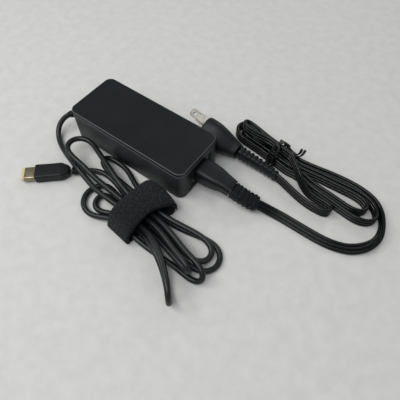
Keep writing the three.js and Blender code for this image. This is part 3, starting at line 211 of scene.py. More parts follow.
# the colour and the mottle's, the roughness and how much it varies, the scales of grain and mottle, the
# grain's depth, scratches, dust, metal and shine
surfaceParts = ("color", "other", "rough", "spread", "grain", "mottle",
                "depth", "scratch", "dust", "metal", "shine")
surfaces = {
    "casePlastic": ((13, 18, 20), (17, 22, 24), 0.42, 0.12, 3600, 45, 0.55, 0.1, 0.03, 0, 0.28),
    "leadSheath": ((13, 17, 19), (19, 23, 25), 0.36, 0.1, 1500, 70, 0.1, 0.05, 0.03, 0, 0.45),
    "flatSheath": ((6, 8, 9), (11, 13, 14), 0.2, 0.08, 1500, 70, 0.1, 0.05, 0.012, 0, 0.3),
    "softMoulding": ((13, 16, 19), (17, 20, 23), 0.42, 0.14, 3200, 60, 0.3, 0.06, 0.03, 0, 0.3),
    "tieSheath": ((11, 12, 13), (15, 16, 17), 0.34, 0.15, 2500, 150, 0.15, 0, 0.02, 0, 0.4),
    "labelFilm": ((44, 46, 47), (48, 50, 51), 0.42, 0.1, 2600, 30, 0.1, 0.2, 0, 0, 0.5),
    "socketPlastic": ((24, 25, 26), (30, 31, 32), 0.45, 0.15, 3600, 80, 0.3, 0.05, 0.03, 0, 0.5),
    "shellMetal": ((166, 157, 138), (132, 120, 98), 0.3, 0.2, 900, 300, 0.08, 0.35, 0.03, 1, 0.5),
    "nickel": ((172, 171, 166), (150, 147, 138), 0.54, 0.12, 900, 260, 0.05, 0.35, 0.03, 1, 0.5),
    # the blades' edge faces: a darker, golden copy of the nickel, as painted shade
    "shadedGoldenNickel": ((150, 126, 78), (104, 84, 46), 0.4, 0.22, 900, 260, 0.06, 0.4, 0.03, 1, 0.5),
    "brass": ((188, 158, 92), (160, 126, 66), 0.3, 0.2, 1200, 200, 0.05, 0.2, 0, 1, 0.5),
    "tipPlastic": ((218, 212, 168), (206, 197, 142), 0.38, 0.15, 3000, 200, 0.1, 0.1, 0.05, 0, 0.5),
    "boardMask": ((24, 84, 48), (34, 108, 62), 0.32, 0.12, 900, 420, 0.1, 0.05, 0.05, 0, 0.5),
    "ferrite": ((50, 48, 46), (62, 59, 56), 0.6, 0.2, 5200, 300, 0.4, 0, 0.03, 0, 0.5),
    "tape": ((216, 180, 52), (198, 160, 38), 0.3, 0.15, 1400, 140, 0.2, 0.05, 0.02, 0, 0.5),
    "sleeve": ((30, 36, 52), (38, 45, 62), 0.24, 0.1, 2000, 100, 0.08, 0.05, 0.03, 0, 0.5),
    "boxBlue": ((66, 110, 156), (58, 98, 142), 0.42, 0.12, 3000, 150, 0.2, 0.02, 0.03, 0, 0.5),
    "ceramic": ((44, 96, 168), (36, 82, 150), 0.3, 0.1, 2400, 200, 0.15, 0, 0.02, 0, 0.5),
    "aluminium": ((176, 178, 182), (160, 162, 166), 0.38, 0.18, 1800, 90, 0.12, 0.5, 0.02, 1, 0.5),
    "copperWire": ((168, 92, 48), (140, 70, 34), 0.34, 0.2, 2600, 600, 0.6, 0, 0.02, 1, 0.5),
    "package": ((30, 30, 31), (36, 36, 37), 0.5, 0.12, 4200, 200, 0.3, 0.02, 0.02, 0, 0.5),
    "fishPaper": ((214, 206, 188), (202, 192, 170), 0.7, 0.1, 2400, 120, 0.3, 0, 0, 0, 0.5),
    "lining": ((12, 13, 14), (26, 28, 30), 0.9, 0.1, 1300, 500, 1, 0, 0.02, 0, 0.5),
}
# the case's edges are painted this light grey: partly from use, partly a painted highlight along the bevels
# and the seam
litAndRubbedEdges = {"casePlastic": (112, 116, 118)}
dustColor = (150, 148, 142)


def newMaterial(name):
    material = bpy.data.materials.new(name)
    material.use_nodes = True
    return material, material.node_tree, material.node_tree.nodes["Principled BSDF"]


def makeSurface(name):
    look = dict(zip(surfaceParts, surfaces[name]))
    material, tree, shader = newMaterial(name)
    grain = useGroup(tree, mouldGrain, {"Grain Scale": look["grain"], "Mottle Scale": look["mottle"],
                                        "Depth": look["depth"]})
    highlightAndWear = useGroup(tree, edgeHighlightAndWear, {"Edge Highlight Amount": int(name in litAndRubbedEdges),
                                     "Scratch Amount": look["scratch"]})
    film = useGroup(tree, dust, {"Amount": look["dust"]})["Dust"]
    color = mixColor(tree, grain["Mottle"], linear(look["color"]), linear(look["other"]))
    lighter = linear(litAndRubbedEdges.get(name, [min(c * 1.5 + 22, 235) for c in look["color"]]))
    # worn edges and scratches lighten the colour; on the case's edges this is partly a painted highlight
    for mark in ("Worn And Lit", "Scratch"):
        color = mixColor(tree, highlightAndWear[mark], color, lighter)
    low = look["rough"] - look["spread"] / 2
    varied = stretch(tree, grain["Mottle"], low=0.3, high=0.7, toLow=low, toHigh=low + look["spread"])
    duller = mathNode(tree, "ADD", varied, film)
    polish = mathNode(tree, "MULTIPLY", highlightAndWear["Worn And Lit"], 0.12)
    feed(tree, shader, {
        "Base Color": mixColor(tree, film, color, linear(dustColor)),
        "Roughness": mathNode(tree, "SUBTRACT", duller, polish, clamp=True),
        "Normal": grain["Normal"],
        "Metallic": look["metal"],
        "Specular IOR Level": look["shine"],
    })
    return material


webbing = {
    "weave": {"Pitch": 1.3, "Depth": 1, "Fuzz": 1},
    # the hollows between the threads are painted near black as shade, the raised threads lighter
    "hollowShade": (4, 5, 6),
    "raised": (64, 69, 73),
    "tone": (20, 22, 24),
    "dust": 0.05,
    "dustColor": (110, 110, 108),
    "finish": {"Roughness": 0.9, "Specular IOR Level": 0.2, "Sheen Weight": 0.06, "Sheen Roughness": 0.4},
}


def makeWebbing():
    material, tree, shader = newMaterial("webbing")
    cloth = useGroup(tree, weave, webbing["weave"])
    film = useGroup(tree, dust, {"Amount": webbing["dust"]})["Dust"]
    # painted shade in the weave's hollows, lighter raised threads
    threads = mixColor(tree, cloth["Thread"], linear(webbing["hollowShade"]), linear(webbing["raised"]))
    tones = mixColor(tree, cloth["Tone"], threads, linear(webbing["tone"]))
    feed(tree, shader, {"Base Color": mixColor(tree, film, tones, linear(webbing["dustColor"])),
                        "Normal": cloth["Normal"], **webbing["finish"]})
    return material


materials = {name: makeSurface(name) for name in surfaces}
materials["webbing"] = makeWebbing()


def addPiece(name, points, faces, finish, body, replaced=(), uvs=None, sharp=32, edge=None, picks=None):
    # points in millimetres; finish is one surface or a list, from which picks takes one for each face
    finishes = [finish] if isinstance(finish, str) else finish
    lowest = 0 if body else -math.inf  # what would reach below the table is pressed flat on it
    mesh = bpy.data.meshes.new(name)
    corners = [(float(x) * mm, float(y) * mm, max(float(z), lowest) * mm) for x, y, z in points]
    mesh.from_pydata(corners, [], faces)
    mesh.validate()
    for surface in finishes:
        mesh.materials.append(materials[surface])
    if picks:
        mesh.polygons.foreach_set("material_index", picks)
    if uvs:
        mesh.uv_layers.new(name=threadMap).data.foreach_set("uv", [c for pair in uvs for c in pair])
    if edge is not None:
        mesh.attributes.new("edge", "FLOAT", "POINT").data.foreach_set("value", edge)
    mesh.shade_smooth()
    if sharp:
        mesh.set_sharp_from_angle(angle=math.radians(sharp))
    mesh.update()
    piece = addObject(name, mesh)
    if body:
        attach(piece, body)
        if replaced:
            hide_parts(*replaced)
    return piece


def ringFaces(rows, columns, closedRows=False):
    faces = []
    for k in range(rows if closedRows else rows - 1):
        low, high = k * columns, (k + 1) % rows * columns
        for i in range(columns):
            j = (i + 1) % columns
            faces.append((low + i, low + j, high + j, high + i))
    if not closedRows:
        faces.append(tuple(reversed(range(columns))))
        faces.append(tuple((rows - 1) * columns + i for i in range(columns)))
    return faces


def facingOut(points, faces):
    # the same faces, turned round if the solid would be inside out
    volume = 0
    for face in faces:
        for a, b in zip(face[1:-1], face[2:]):
            volume += np.dot(points[face[0]], np.cross(points[a], points[b]))
    return faces if volume > 0 else [tuple(reversed(face)) for face in faces]


def loft(name, rings, finish, body, replaced=(), closed=False, sharp=32, edge=None):
    rings = np.asarray(rings, float)
    points = rings.reshape(-1, 3)
    faces = facingOut(points, ringFaces(len(rings), rings.shape[1], closed))
    marks = None if edge is None else np.repeat(np.array(edge, float), rings.shape[1])
    return addPiece(name, points, faces, finish, body, replaced, sharp=sharp, edge=marks)


def roundedOutline(width, height, radius, steps):
    outline = []
    for corner in range(4):
        x = (1 if corner in (0, 3) else -1) * (width / 2 - radius)
        y = (1 if corner < 2 else -1) * (height / 2 - radius)
        for step in range(steps + 1):
            angle = (corner + step / steps) * math.pi / 2
            outline.append((x + radius * math.cos(angle), y + radius * math.sin(angle)))
    return np.array(outline)


def softOutline(halfWidth, halfHeight, sides, squareness):
    angles = (np.arange(sides) + 0.5) * math.tau / sides
    x, y = np.cos(angles), np.sin(angles)
    return np.stack([halfWidth * np.sign(x) * abs(x) ** squareness,
                     halfHeight * np.sign(y) * abs(y) ** squareness], 1)


def circle(radius, sides):
    angles = np.arange(sides) * math.tau / sides
    return np.stack([radius * np.cos(angles), radius * np.sin(angles)], 1)


def ringAt(x, outline):
    # an outline of Y and Z, put across the X axis
    return np.column_stack([np.full(len(outline), x), outline])


def slabRings(width, height, radius, steps, places):
    # rounded rings across X: places are (x, inset)
    rings = []
    for x, inset in places:
        corner = max(radius - inset, 0.05)
        rings.append(ringAt(x, roundedOutline(width - 2 * inset, height - 2 * inset, corner, steps)))
    return np.array(rings)


def placed(points, at, turn, height=0):
    # points turned about the upright axis and moved to their place
    turn = math.radians(turn)
    points = np.asarray(points, float)
    x, y = points[..., 0], points[..., 1]
    return np.stack([at[0] + x * math.cos(turn) - y * math.sin(turn),
                     at[1] + x * math.sin(turn) + y * math.cos(turn), height + points[..., 2]], -1)


def unit(vectors):
    return vectors / np.linalg.norm(vectors, axis=-1, keepdims=True)


def catmull(points, each):
    # a smooth curve through the points (centripetal), as straight stretches, each between every two points
    points = np.asarray(points, float)
    guard = np.vstack([2 * points[0] - points[1], points, 2 * points[-1] - points[-2]])
    curve = []
    for i in range(1, len(guard) - 2):
        p = guard[i - 1 : i + 3]
        t = np.concatenate([[0], np.cumsum(np.linalg.norm(np.diff(p, axis=0), axis=1) ** 0.5)])
        for step in range(each):
            s = t[1] + (t[2] - t[1]) * step / each
            first = [((t[k + 1] - s) * p[k] + (s - t[k]) * p[k + 1]) / (t[k + 1] - t[k]) for k in range(3)]
            second = [((t[k + 2] - s) * first[k] + (s - t[k]) * first[k + 1]) / (t[k + 2] - t[k])
                      for k in range(2)]
            curve.append(((t[2] - s) * second[0] + (s - t[1]) * second[1]) / (t[2] - t[1]))
    return np.array(curve + [points[-1]])


def closedCatmull(points, each):
    return catmull([*points[-2:], *points, *points[:3]], each)[2 * each : (2 + len(points)) * each]


def lengthsOf(points):
    return np.concatenate([[0], np.cumsum(np.linalg.norm(np.diff(points, axis=0), axis=1))])


def atLengths(points, wanted):
    lengths = lengthsOf(points)
    return np.stack([np.interp(wanted, lengths, points[:, k]) for k in range(3)], 1)


def evenly(points, step):
    total = lengthsOf(points)[-1]
    return atLengths(points, np.linspace(0, total, int(total // step) + 1))


def applyModifiers(piece):
    bpy.context.view_layer.update()
    whole = piece.evaluated_get(bpy.context.evaluated_depsgraph_get())
    mesh = bpy.data.meshes.new_from_object(whole)
    piece.modifiers.clear()
    piece.data = mesh


def cutter(rings):
    return loft("cutter", rings, "package", None)


def carve(piece, *cutters):
    # cuts the cutters out of a piece and removes them
    for tool in cutters:
        step = piece.modifiers.new("cut", "BOOLEAN")
        step.operation = "DIFFERENCE"
        step.solver = "EXACT"
        step.object = tool
    applyModifiers(piece)
    for tool in cutters:
        bpy.data.objects.remove(tool)


def roundEdges(piece, width):
    # a small bevel along the sharp edges
    step = piece.modifiers.new("bevel", "BEVEL")
    step.width = width * mm
    step.segments = 3
    step.limit_method = "ANGLE"
    step.angle_limit = math.radians(35)
    applyModifiers(piece)
    piece.data.shade_smooth()
    piece.data.set_sharp_from_angle(angle=math.radians(50))


print("stage: leads")

# the routes are those of the solids
dcLead = {
    "diameter": 4.1,
    "sides": 18,
    "samples": (90, 60),  # on the free stretches before and after the hank
    "step": 1.35,
    "start": [(-54.3, -13.6, 14.75), (-57, -13.9, 14.7), (-60.8, -15.4, 14.5), (-65, -18.6, 13),
              (-67.6, -23.5, 10), (-67.6, -29, 6.3), (-63.8, -34.2, 3.4), (-56.5, -39, 2.4), (-47, -43, 3),
              (-35, -47.2, 6.6), (-24.5, -50.3, 8.7), (-12, -53.4, 7.9), (0, -56, 7.8), (12, -57, 8.8)],
    "end": [(18, -45, 3.2), (10, -42.4, 2.2), (1, -40.2, 2.1), (-7, -39.6, 2.1), (-14, -41.1, 2.2),
            (-19.6, -44.7, 2.2), (-24.4, -49.1, 3), (-28.6, -52.95, 3.8)],
    "reliefLength": 12.4,
    "reliefAt": (-25.4, -50, 3.2),
}
mainsLead = {
    "width": 8.4,
    "thick": 2.7,
    "web": 0.32,  # half the thickness between two ridges
    "samples": (150, 90),
    "step": 1.1,
    "start": [(80, 0, 13.7), (86, 0.3, 12.1), (92, 1.3, 9.8), (97, 2.8, 7.5), (102, 4.6, 5.5),
              (110, 6.5, 3.2), (120, 7.8, 1.9), (131, 8, 1.55), (142, 8, 1.5), (152, 8.3, 1.5),
              (162, 9.9, 1.55), (171.5, 13.7, 1.8), (179, 20.5, 2.6), (183.4, 30, 3.5), (182.6, 40, 4.2),
              (178, 50, 4.45), (170, 57.4, 4.45), (159, 60.9, 4.45), (146, 61.6, 4.45), (133, 60.6, 4.45),
              (120, 58.6, 4.6), (108, 57.4, 4.9)],
    "end": [(101, 49.8, 14.8), (108, 45.2, 14.3), (114, 40.6, 12.5), (120, 37.2, 8.6), (127, 35, 5.7),
            (135, 34.1, 4.6), (142, 34.1, 4.45), (145.6, 33.2, 4.45), (147.2, 30.5, 4.45),
            (145.6, 27.8, 4.45), (142, 26.9, 4.45), (135, 26.6, 4.45), (127, 27.3, 4.6), (118, 29.1, 5.2),
            (110, 31.1, 5.9), (101.5, 33.1, 6.4), (95, 34.1, 6.8), (84, 34.7, 7.4), (74, 34.8, 8.1),
            (66, 34.9, 8.8)],
    "twist": (72, 110),  # lengths between which it turns from lying flat to standing on edge
    "reliefEnd": (102, 4.6, 5.5),
    "plugReliefAt": (101.5, 33.1, 6.4),
}

# A slot is a strand's place across the hank and its height where it is tied: left, then right.
# A lobe is its side, its slots out and back, its tip, width, tilt and height, the heights of its two legs,
# how strongly they leave the slots and enter the bend, and which way it points if not straight out.
dcHank = {
    "at": (38.5, -51), "turn": -7,
    "half": 10.25,  # half the strap's width
    "spacing": 4.78,  # of the strands
    "power": 2, "squash": 1,  # how the lead's section counts in that spacing
    "apart": 18.9,  # points nearer than this along the lead don't push each other
    "rounds": 220,
    "floor": 2.07, "heldFloor": 4.2,  # lowest heights on the table and in the strap
    "wall": (56, -25.6),  # within this of the case's middle in X, no strand's Y passes this
    "slots": {
        1: (12.8, 4.4, 8.7, 9.0), 2: (8.1, 4.4, 8.4, 4.4), 3: (3.4, 4.4, 3.4, 4.4), 4: (-1.3, 4.4, -1.3, 4.4),
        5: (-6.0, 4.4, -6.0, 4.4), 6: (-10.7, 4.4, -10.7, 4.4), 7: (-15.6, 4.4, -15.4, 4.4),
        8: (3.0, 9.4, 3.6, 9.2), 9: (-3.0, 9.4, -1.4, 9.2), 10: (-8.4, 9.4, -8.4, 9.4),
    },
    "lobes": [
        (1, 10, 6, (96.6, -91.2), 16, 89, 10.2, (17, 9), (1, 0.7), -46),
        (-1, 6, 5, (3, -59), 17, 0, 2.3, (2.6, 2.3), (0.5, 0.8), None),
        (1, 5, 9, (95.6, -67.6), 8.2, 86, 11, (7, 13), (0.9, 0.9), None),
        (-1, 9, 8, (-43, -35), 18.4, 8, 13.2, (9, 13.2), (1, 0.8), None),
        (1, 8, 7, (104.2, -65.8), 11.8, 52, 6.8, (13, 2.4), (0.8, 0.9), None),
        (-1, 7, 4, (-6.2, -60), 27, 0, 2.2, (3.2, 2.6), (0.75, 0.75), 186),
        (1, 4, 2, (105, -50.6), 21.5, 0, 2.2, (2.3, 2.3), (0.9, 0.9), None),
        (-1, 2, 1, (-16.4, -28), 14.5, 20, 4.6, (7, 3), (0.9, 1.3), None),
        (1, 1, 3, (98.4, -50), 17, 0, 4.6, (7.6, 6.5), (0.9, 0.9), None),
    ],
}
mainsHank = {
    "at": (91.2, 53.3), "turn": -10, "half": 2.5, "spacing": 3.5, "power": 4, "apart": 14, "rounds": 260,
    "squash": mainsLead["width"] / mainsLead["thick"], "floor": 4.3, "heldFloor": 5.2, "wall": None,
    "slots": {
        1: (-6.9, 5.2, -6.9, 5.2), 2: (-3.45, 5.2, -3.45, 5.2), 3: (0, 5.2, 0, 5.2),
        4: (3.45, 5.2, 3.45, 5.2), 5: (6.9, 5.2, 6.9, 5.2), 6: (-1.6, 14.8, -1.6, 14.8),
    },
    "lobes": [
        (-1, 5, 1, (49.8, 61), 15.8, 0, 4.4, (4.4, 4.4), (0.8, 0.9), None),
        (1, 1, 4, (177.2, 45.5), 21, 0, 4.4, (4.4, 4.4), (0.8, 0.9), None),
        (-1, 4, 2, (53.8, 60.6), 9, 0, 4.4, (4.4, 4.4), (0.8, 0.9), None),
        (1, 2, 3, (168.5, 47), 12.5, 0, 4.4, (4.4, 4.4), (0.8, 0.9), None),
        (-1, 3, 6, (54.5, 57.4), 6.6, 0, 13.6, (12.5, 14.2), (0.8, 0.9), None),
    ],
}
laying = {
    "mouthRun": 4.5,  # a lead comes straight to the hank over this length
    "step": 2.5,  # between the points that settle
    "clearStep": 1.2,  # between the points of the free stretches that they keep clear of
    "clearEnds": 12,  # how many of those points, next to the hank, don't count
    "overlap": 1.5,  # how far a lead goes on inside a relief
    "smoothing": 4,
}

upright = np.array([0, 0, 1.0])


def levelAxes(turn):
    # the directions along and across, on the table
    turn = math.radians(turn)
    return np.array([math.cos(turn), math.sin(turn), 0]), np.array([-math.sin(turn), math.cos(turn), 0])


def slotPoint(hank, name, along):
    axis, across = levelAxes(hank["turn"])
    part = min(max((along / hank["half"] + 1) / 2, 0), 1)
    leftQ, leftZ, rightQ, rightZ = hank["slots"][name]
    point = np.array([*hank["at"], 0]) + axis * along + across * (leftQ + (rightQ - leftQ) * part)
    return point + np.array([0, 0, leftZ + (rightZ - leftZ) * part])


def bight(hank, lobe):
    # the points of a lobe: a leg out, half a turn and a leg back
    side, out, back, tip, width, tilt, height, overs, pulls, pointing = lobe
    axis = levelAxes(hank["turn"])[0]
    start, end = (slotPoint(hank, name, side * hank["half"]) for name in (out, back))
    tip = np.array([*tip, 0])
    if pointing is None:
        heading = (tip - (start + end) / 2) * (1, 1, 0)
        heading /= np.linalg.norm(heading)
    else:
        heading = levelAxes(pointing)[0]
    left = np.array([-heading[1], heading[0], 0])
    sign = 1 if (start - end) @ left > 0 else -1
    tilt = math.radians(tilt)
    spread = left * math.cos(tilt) + upright * math.sin(tilt)
    radius = width / 2
    centre = tip - heading * radius + upright * height

    def leg(near, way, over):
        far = centre + spread * way * radius
        reach = np.linalg.norm(far - near)
        points = []
        for t in (0.22, 0.45, 0.7):
            point = near * (2 * t**3 - 3 * t**2 + 1) + far * (3 * t**2 - 2 * t**3)
            point = point + axis * (t**3 - 2 * t**2 + t) * side * reach * pulls[0]
            point = point + heading * (t**3 - t**2) * reach * pulls[1]
            if t < 0.5:
                point[2] = near[2] + (over - near[2]) * math.sin(t * math.pi)
            else:
                point[2] = over + (far[2] - over) * (t - 0.5) * 2
            points.append(point)
        return points

    halfTurn = []
    for step in range(7):
        angle = math.pi / 2 - math.pi * step / 6
        forward, aside = heading * radius * math.cos(angle), spread * sign * radius * math.sin(angle)
        halfTurn.append(centre + forward + aside)
    return leg(start, sign, overs[0]) + halfTurn + leg(end, -sign, overs[1])[::-1]


def gauge(hank, step):
    # how far apart two points are: on the flat lead height counts for less, as it stands on edge
    power = hank["power"]
    flat = np.hypot(step[..., 0], step[..., 1])
    rise = abs(step[..., 2]) / hank["squash"]
    return (flat**power + rise**power) ** (1 / power), flat, rise


def shove(hank, step, share):
    # how points that are too close move apart: by this share of what is missing
    apart, flat, rise = gauge(hank, step)
    amount = (hank["spacing"] - apart) * share
    power = hank["power"] - 1
    apart = np.maximum(apart, 1e-6)
    push = np.zeros_like(step)
    push[:, :2] = step[:, :2] * (amount * (flat / apart) ** power / np.maximum(flat, 1e-6))[:, None]
    push[:, 2] = np.sign(step[:, 2]) * amount * (rise / apart) ** power * hank["squash"]
    return push


def settle(hank, laced, clear):
    # the strands settle beside and on each other, a lead's thickness apart, smooth and above the table
    points = evenly(catmull(laced, 8), laying["step"])
    count = len(points)
    axis = levelAxes(hank["turn"])[0]
    allFirst, allSecond = np.triu_indices(count, math.ceil(hank["apart"] / laying["step"]))
    free = np.arange(3, count - 3)
    for turn in range(hank["rounds"]):
        if turn % 10 == 0:
            near = gauge(hank, points[allFirst] - points[allSecond])[0] < hank["spacing"] + 6
            first, second = allFirst[near], allSecond[near]
        pushes = np.zeros_like(points)
        step = points[first] - points[second]
        close = gauge(hank, step)[0] < hank["spacing"]
        push = shove(hank, step[close], share=0.25)
        np.add.at(pushes, first[close], push)
        np.add.at(pushes, second[close], -push)
        step = points[:, None] - clear[None]
        apart = gauge(hank, step)[0]
        close = np.nonzero(apart.min(1) < hank["spacing"])[0]
        pushes[close] += shove(hank, step[close, apart.argmin(1)[close]], share=0.5)
        points[free] += pushes[free]
        before = points.copy()
        points[free] += (-before[free - 2] + 4 * before[free - 1] - 6 * before[free] + 4 * before[free + 1]
                         - before[free + 2]) / 32
        held = abs((points[free][:, :2] - hank["at"]) @ axis[:2]) < hank["half"] + 1.5
        points[free, 2] = np.maximum(points[free, 2], np.where(held, hank["heldFloor"], hank["floor"]))
        if hank["wall"]:
            reach, line = hank["wall"]
            beside = free[abs(points[free, 0]) < reach]
            points[beside, 1] = np.minimum(points[beside, 1], line)
    return points


def layLead(hank, lead):
    # a lead's way to its hank, through it and away from it
    lobes, half, run = hank["lobes"], hank["half"], laying["mouthRun"]
    side, out, lastSide, back = lobes[0][0], lobes[0][1], lobes[-1][0], lobes[-1][2]
    enter, leave = slotPoint(hank, out, -side * half), slotPoint(hank, back, -lastSide * half)
    start = catmull([*lead["start"], slotPoint(hank, out, -side * half - side * run), enter], 10)
    end = catmull([leave, slotPoint(hank, back, -lastSide * half - lastSide * run), *lead["end"]], 10)
    laced = [enter]
    for lobe in lobes:
        mouth = lobe[0] * half
        laced += [slotPoint(hank, lobe[1], mouth), *bight(hank, lobe), slotPoint(hank, lobe[2], mouth)]
    step, ends = laying["clearStep"], laying["clearEnds"]
    clear = np.vstack([evenly(start, step)[:-ends], evenly(end, step)[ends:]])
    return start, catmull(settle(hank, [*laced, leave], clear), 3), end


def nearestLength(points, spot):
    return lengthsOf(points)[np.linalg.norm(points - np.array(spot, float), axis=1).argmin()]


def leadLine(stretches, lead, begin, stop):
    # the whole lead as one line, without its last small kinks
    start, middle, end = stretches
    first = atLengths(start, np.linspace(begin - laying["overlap"], lengthsOf(start)[-1], lead["samples"][0]))
    last = atLengths(end, np.linspace(0, stop + laying["overlap"], lead["samples"][1]))
    points = evenly(np.vstack([first, middle[1:-1], last]), lead["step"])
    for _ in range(laying["smoothing"]):
        points[1:-1] += (points[:-2] + points[2:] - 2 * points[1:-1]) / 4
    return points


def tangentsOf(points):
    return unit(np.gradient(points, axis=0))


def levelAcross(tangents):
    return unit(np.cross(tangents, upright))


def carriedAcross(tangents):
    # a direction across the line that turns as little as it can
    across, found = np.cross(tangents[0], upright), []
    for tangent in tangents:
        across = across - tangent * (across @ tangent)
        across /= np.linalg.norm(across)
        found.append(across)
    return np.array(found)


def spun(tangents, across, angles):
    # the directions across, turned about the line
    rise = np.cross(across, tangents)
    return across * np.cos(angles)[:, None] + rise * np.sin(angles)[:, None]


def sweepRings(points, sections, tangents, across):
    rises = np.cross(across, tangents)
    return [point + section[:, :1] * side + section[:, 1:] * rise
            for point, section, side, rise in zip(points, sections, across, rises)]


def addSwept(name, line, section, tangents, across, finish, body, replaced=(), closed=False):
    rings = sweepRings(line, [section] * len(line), tangents, across)
    return loft(name, rings, finish, body, replaced, closed=closed, sharp=0)


def flatLeadSection():
    # three round ridges side by side, joined by thin webs
    radius = mainsLead["thick"] / 2
    pitch = mainsLead["width"] / 2 - radius
    half = []
    for core, first, last in ((pitch, 0, 160), (0, 20, 160), (-pitch, 20, 180)):
        for angle in range(first, last + 1, 20):
            turn = math.radians(angle)
            half.append((radius * math.sin(turn), core + radius * math.cos(turn)))
        if core > -pitch:
            half.append((mainsLead["web"], core - pitch / 2))
    return np.array(half + [(-a, b) for a, b in half[1:-1]][::-1])


def addDcLead(line):
    section = circle(dcLead["diameter"] / 2, dcLead["sides"])
    tangents = tangentsOf(line)
    print("low-voltage lead", round(lengthsOf(line)[-1]), "mm")
    return addSwept("dc_lead", line, section, tangents, carriedAcross(tangents), "leadSheath", "root",
                    ("dc_lead_start", "dc_lead_hank", "dc_lead_end"))


def addMainsLead(line):
    tangents = tangentsOf(line)
    lengths = lengthsOf(line)
    low, high = mainsLead["twist"]
    part = np.clip((lengths - low) / (high - low), 0, 1)
    angle = (1 - part * part * (3 - 2 * part)) * math.pi / 2
    across = spun(tangents, levelAcross(tangents), -angle)
    print("mains lead", round(lengths[-1]), "mm")
    return addSwept("mains_lead", line, flatLeadSection(), tangents, across, "flatSheath", "mains_lead",
                    ("mains_lead_start", "mains_lead_hank", "mains_lead_end"))


dcRoute = layLead(dcHank, dcLead)
mainsRoute = layLead(mainsHank, mainsLead)
dcReliefStart = nearestLength(dcRoute[2], dcLead["reliefAt"])
gripReliefEnd = nearestLength(mainsRoute[0], mainsLead["reliefEnd"])
plugReliefStart = nearestLength(mainsRoute[2], mainsLead["plugReliefAt"])
dcLine = leadLine(dcRoute, dcLead, dcLead["reliefLength"], dcReliefStart)
mainsLine = leadLine(mainsRoute, mainsLead, gripReliefEnd, plugReliefStart)
dcLeadPiece = addDcLead(dcLine)
mainsLeadPiece = addMainsLead(mainsLine)

relief = {
    "fillet": 0.12,  # of a rib's pitch
    "groove": 0.86,  # the last low point before the next rib, in pitches
    "steady": 60,  # points that its directions are taken from
    "caseRadius": 3.65,
    "caseTaper": 0.085,
    "caseCollar": [(0, 1.04), (2.4, 1.04), (2.8, 0.96)],  # length and swell
    "caseEnd": [(-0.3, 0.82), (0, 0.74)],
    "connectorHalf": (3.4, 2.7),
    "gripHalf": (6.5, 4.6),
    "gripTaper": 0.03,
    "gripFrom": 3,  # where its ribs begin
    "gripPlain": 3.4,  # how much of its length has none
    "gripRibs": 6,
    "gripRibPart": 0.58,  # of a pitch
    "gripSlope": 0.08,
    "gripLow": 0.79,
    "gripStep": 0.24,
    "gripSplit": 38,  # degrees, where the ribs on the sides meet those on top and underneath
    "plugHalf": ((3, 5), (5, 5.6)),  # at the lead and at the plug
}


def ribRows(ribs, start, stop, low):
    # lengths and swells of a ribbed sleeve, which is full size on its ribs and low between them
    fillet = relief["fillet"]
    shape = ((0, 0), (fillet, 0.75), (fillet * 1.7, 1), (0.5 - fillet * 0.4, 1), (0.5 + fillet * 0.3, 0.75),
             (0.5 + fillet * 1.2, 0), (relief["groove"], 0))
    pitch = (stop - start) / ribs
    rows = [(start + i * pitch + part * pitch, low + (1 - low) * swell)
            for i in range(ribs) for part, swell in shape]
    return rows + [(stop, low)]


def addRelief(name, route, rows, section, acrossOf, body, replaced):
    lengths = np.array([s for s, _ in rows])
    even = np.linspace(lengths[0], lengths[-1], relief["steady"])
    tangents = tangentsOf(atLengths(route, even))
    steady = unit(np.stack([np.interp(lengths, even, tangents[:, k]) for k in range(3)], 1))
    sections = [section(s) * swell for s, swell in rows]
    rings = sweepRings(atLengths(route, lengths), sections, steady, acrossOf(steady))
    return loft(name, rings, "softMoulding", body, replaced, sharp=40)


def caseReliefSection(s):
    return circle(relief["caseRadius"] - relief["caseTaper"] * s, sides=28)


def connectorReliefSection(s):
    return softOutline(*relief["connectorHalf"], sides=28, squareness=0.85)


def gripReliefSection(s):
    # the ribs on top and underneath lie half a pitch from those on the sides
    wide, high = relief["gripHalf"]
    split, low, begin = relief["gripSplit"], relief["gripLow"], relief["gripFrom"]
    outline = softOutline(wide, high - relief["gripTaper"] * s, sides=48, squareness=0.68)
    pitch = (gripReliefEnd - relief["gripPlain"]) / relief["gripRibs"]
    swells = []
    for across, rise in outline:
        facing = math.degrees(math.atan2(abs(rise) / high, abs(across) / wide))
        place = ((s - begin) / pitch + (0.5 if facing > split else 0)) % 1
        nearEdge = min(place, relief["gripRibPart"] - place)
        raised = min(max(nearEdge / relief["gripSlope"] + 0.2, 0), 1)
        if abs(facing - split) < 5 or s < begin or s > gripReliefEnd - 0.6:
            raised = 0
        swells.append(low + (1 - low) * raised)
    return outline * np.array(swells)[:, None]


def plugReliefSection(s):
    swell = (s - plugReliefStart) / (lengthsOf(mainsRoute[2])[-1] - plugReliefStart)
    near, far = np.array(relief["plugHalf"], float)
    return softOutline(*(near + (far - near) * swell), sides=32, squareness=0.78)


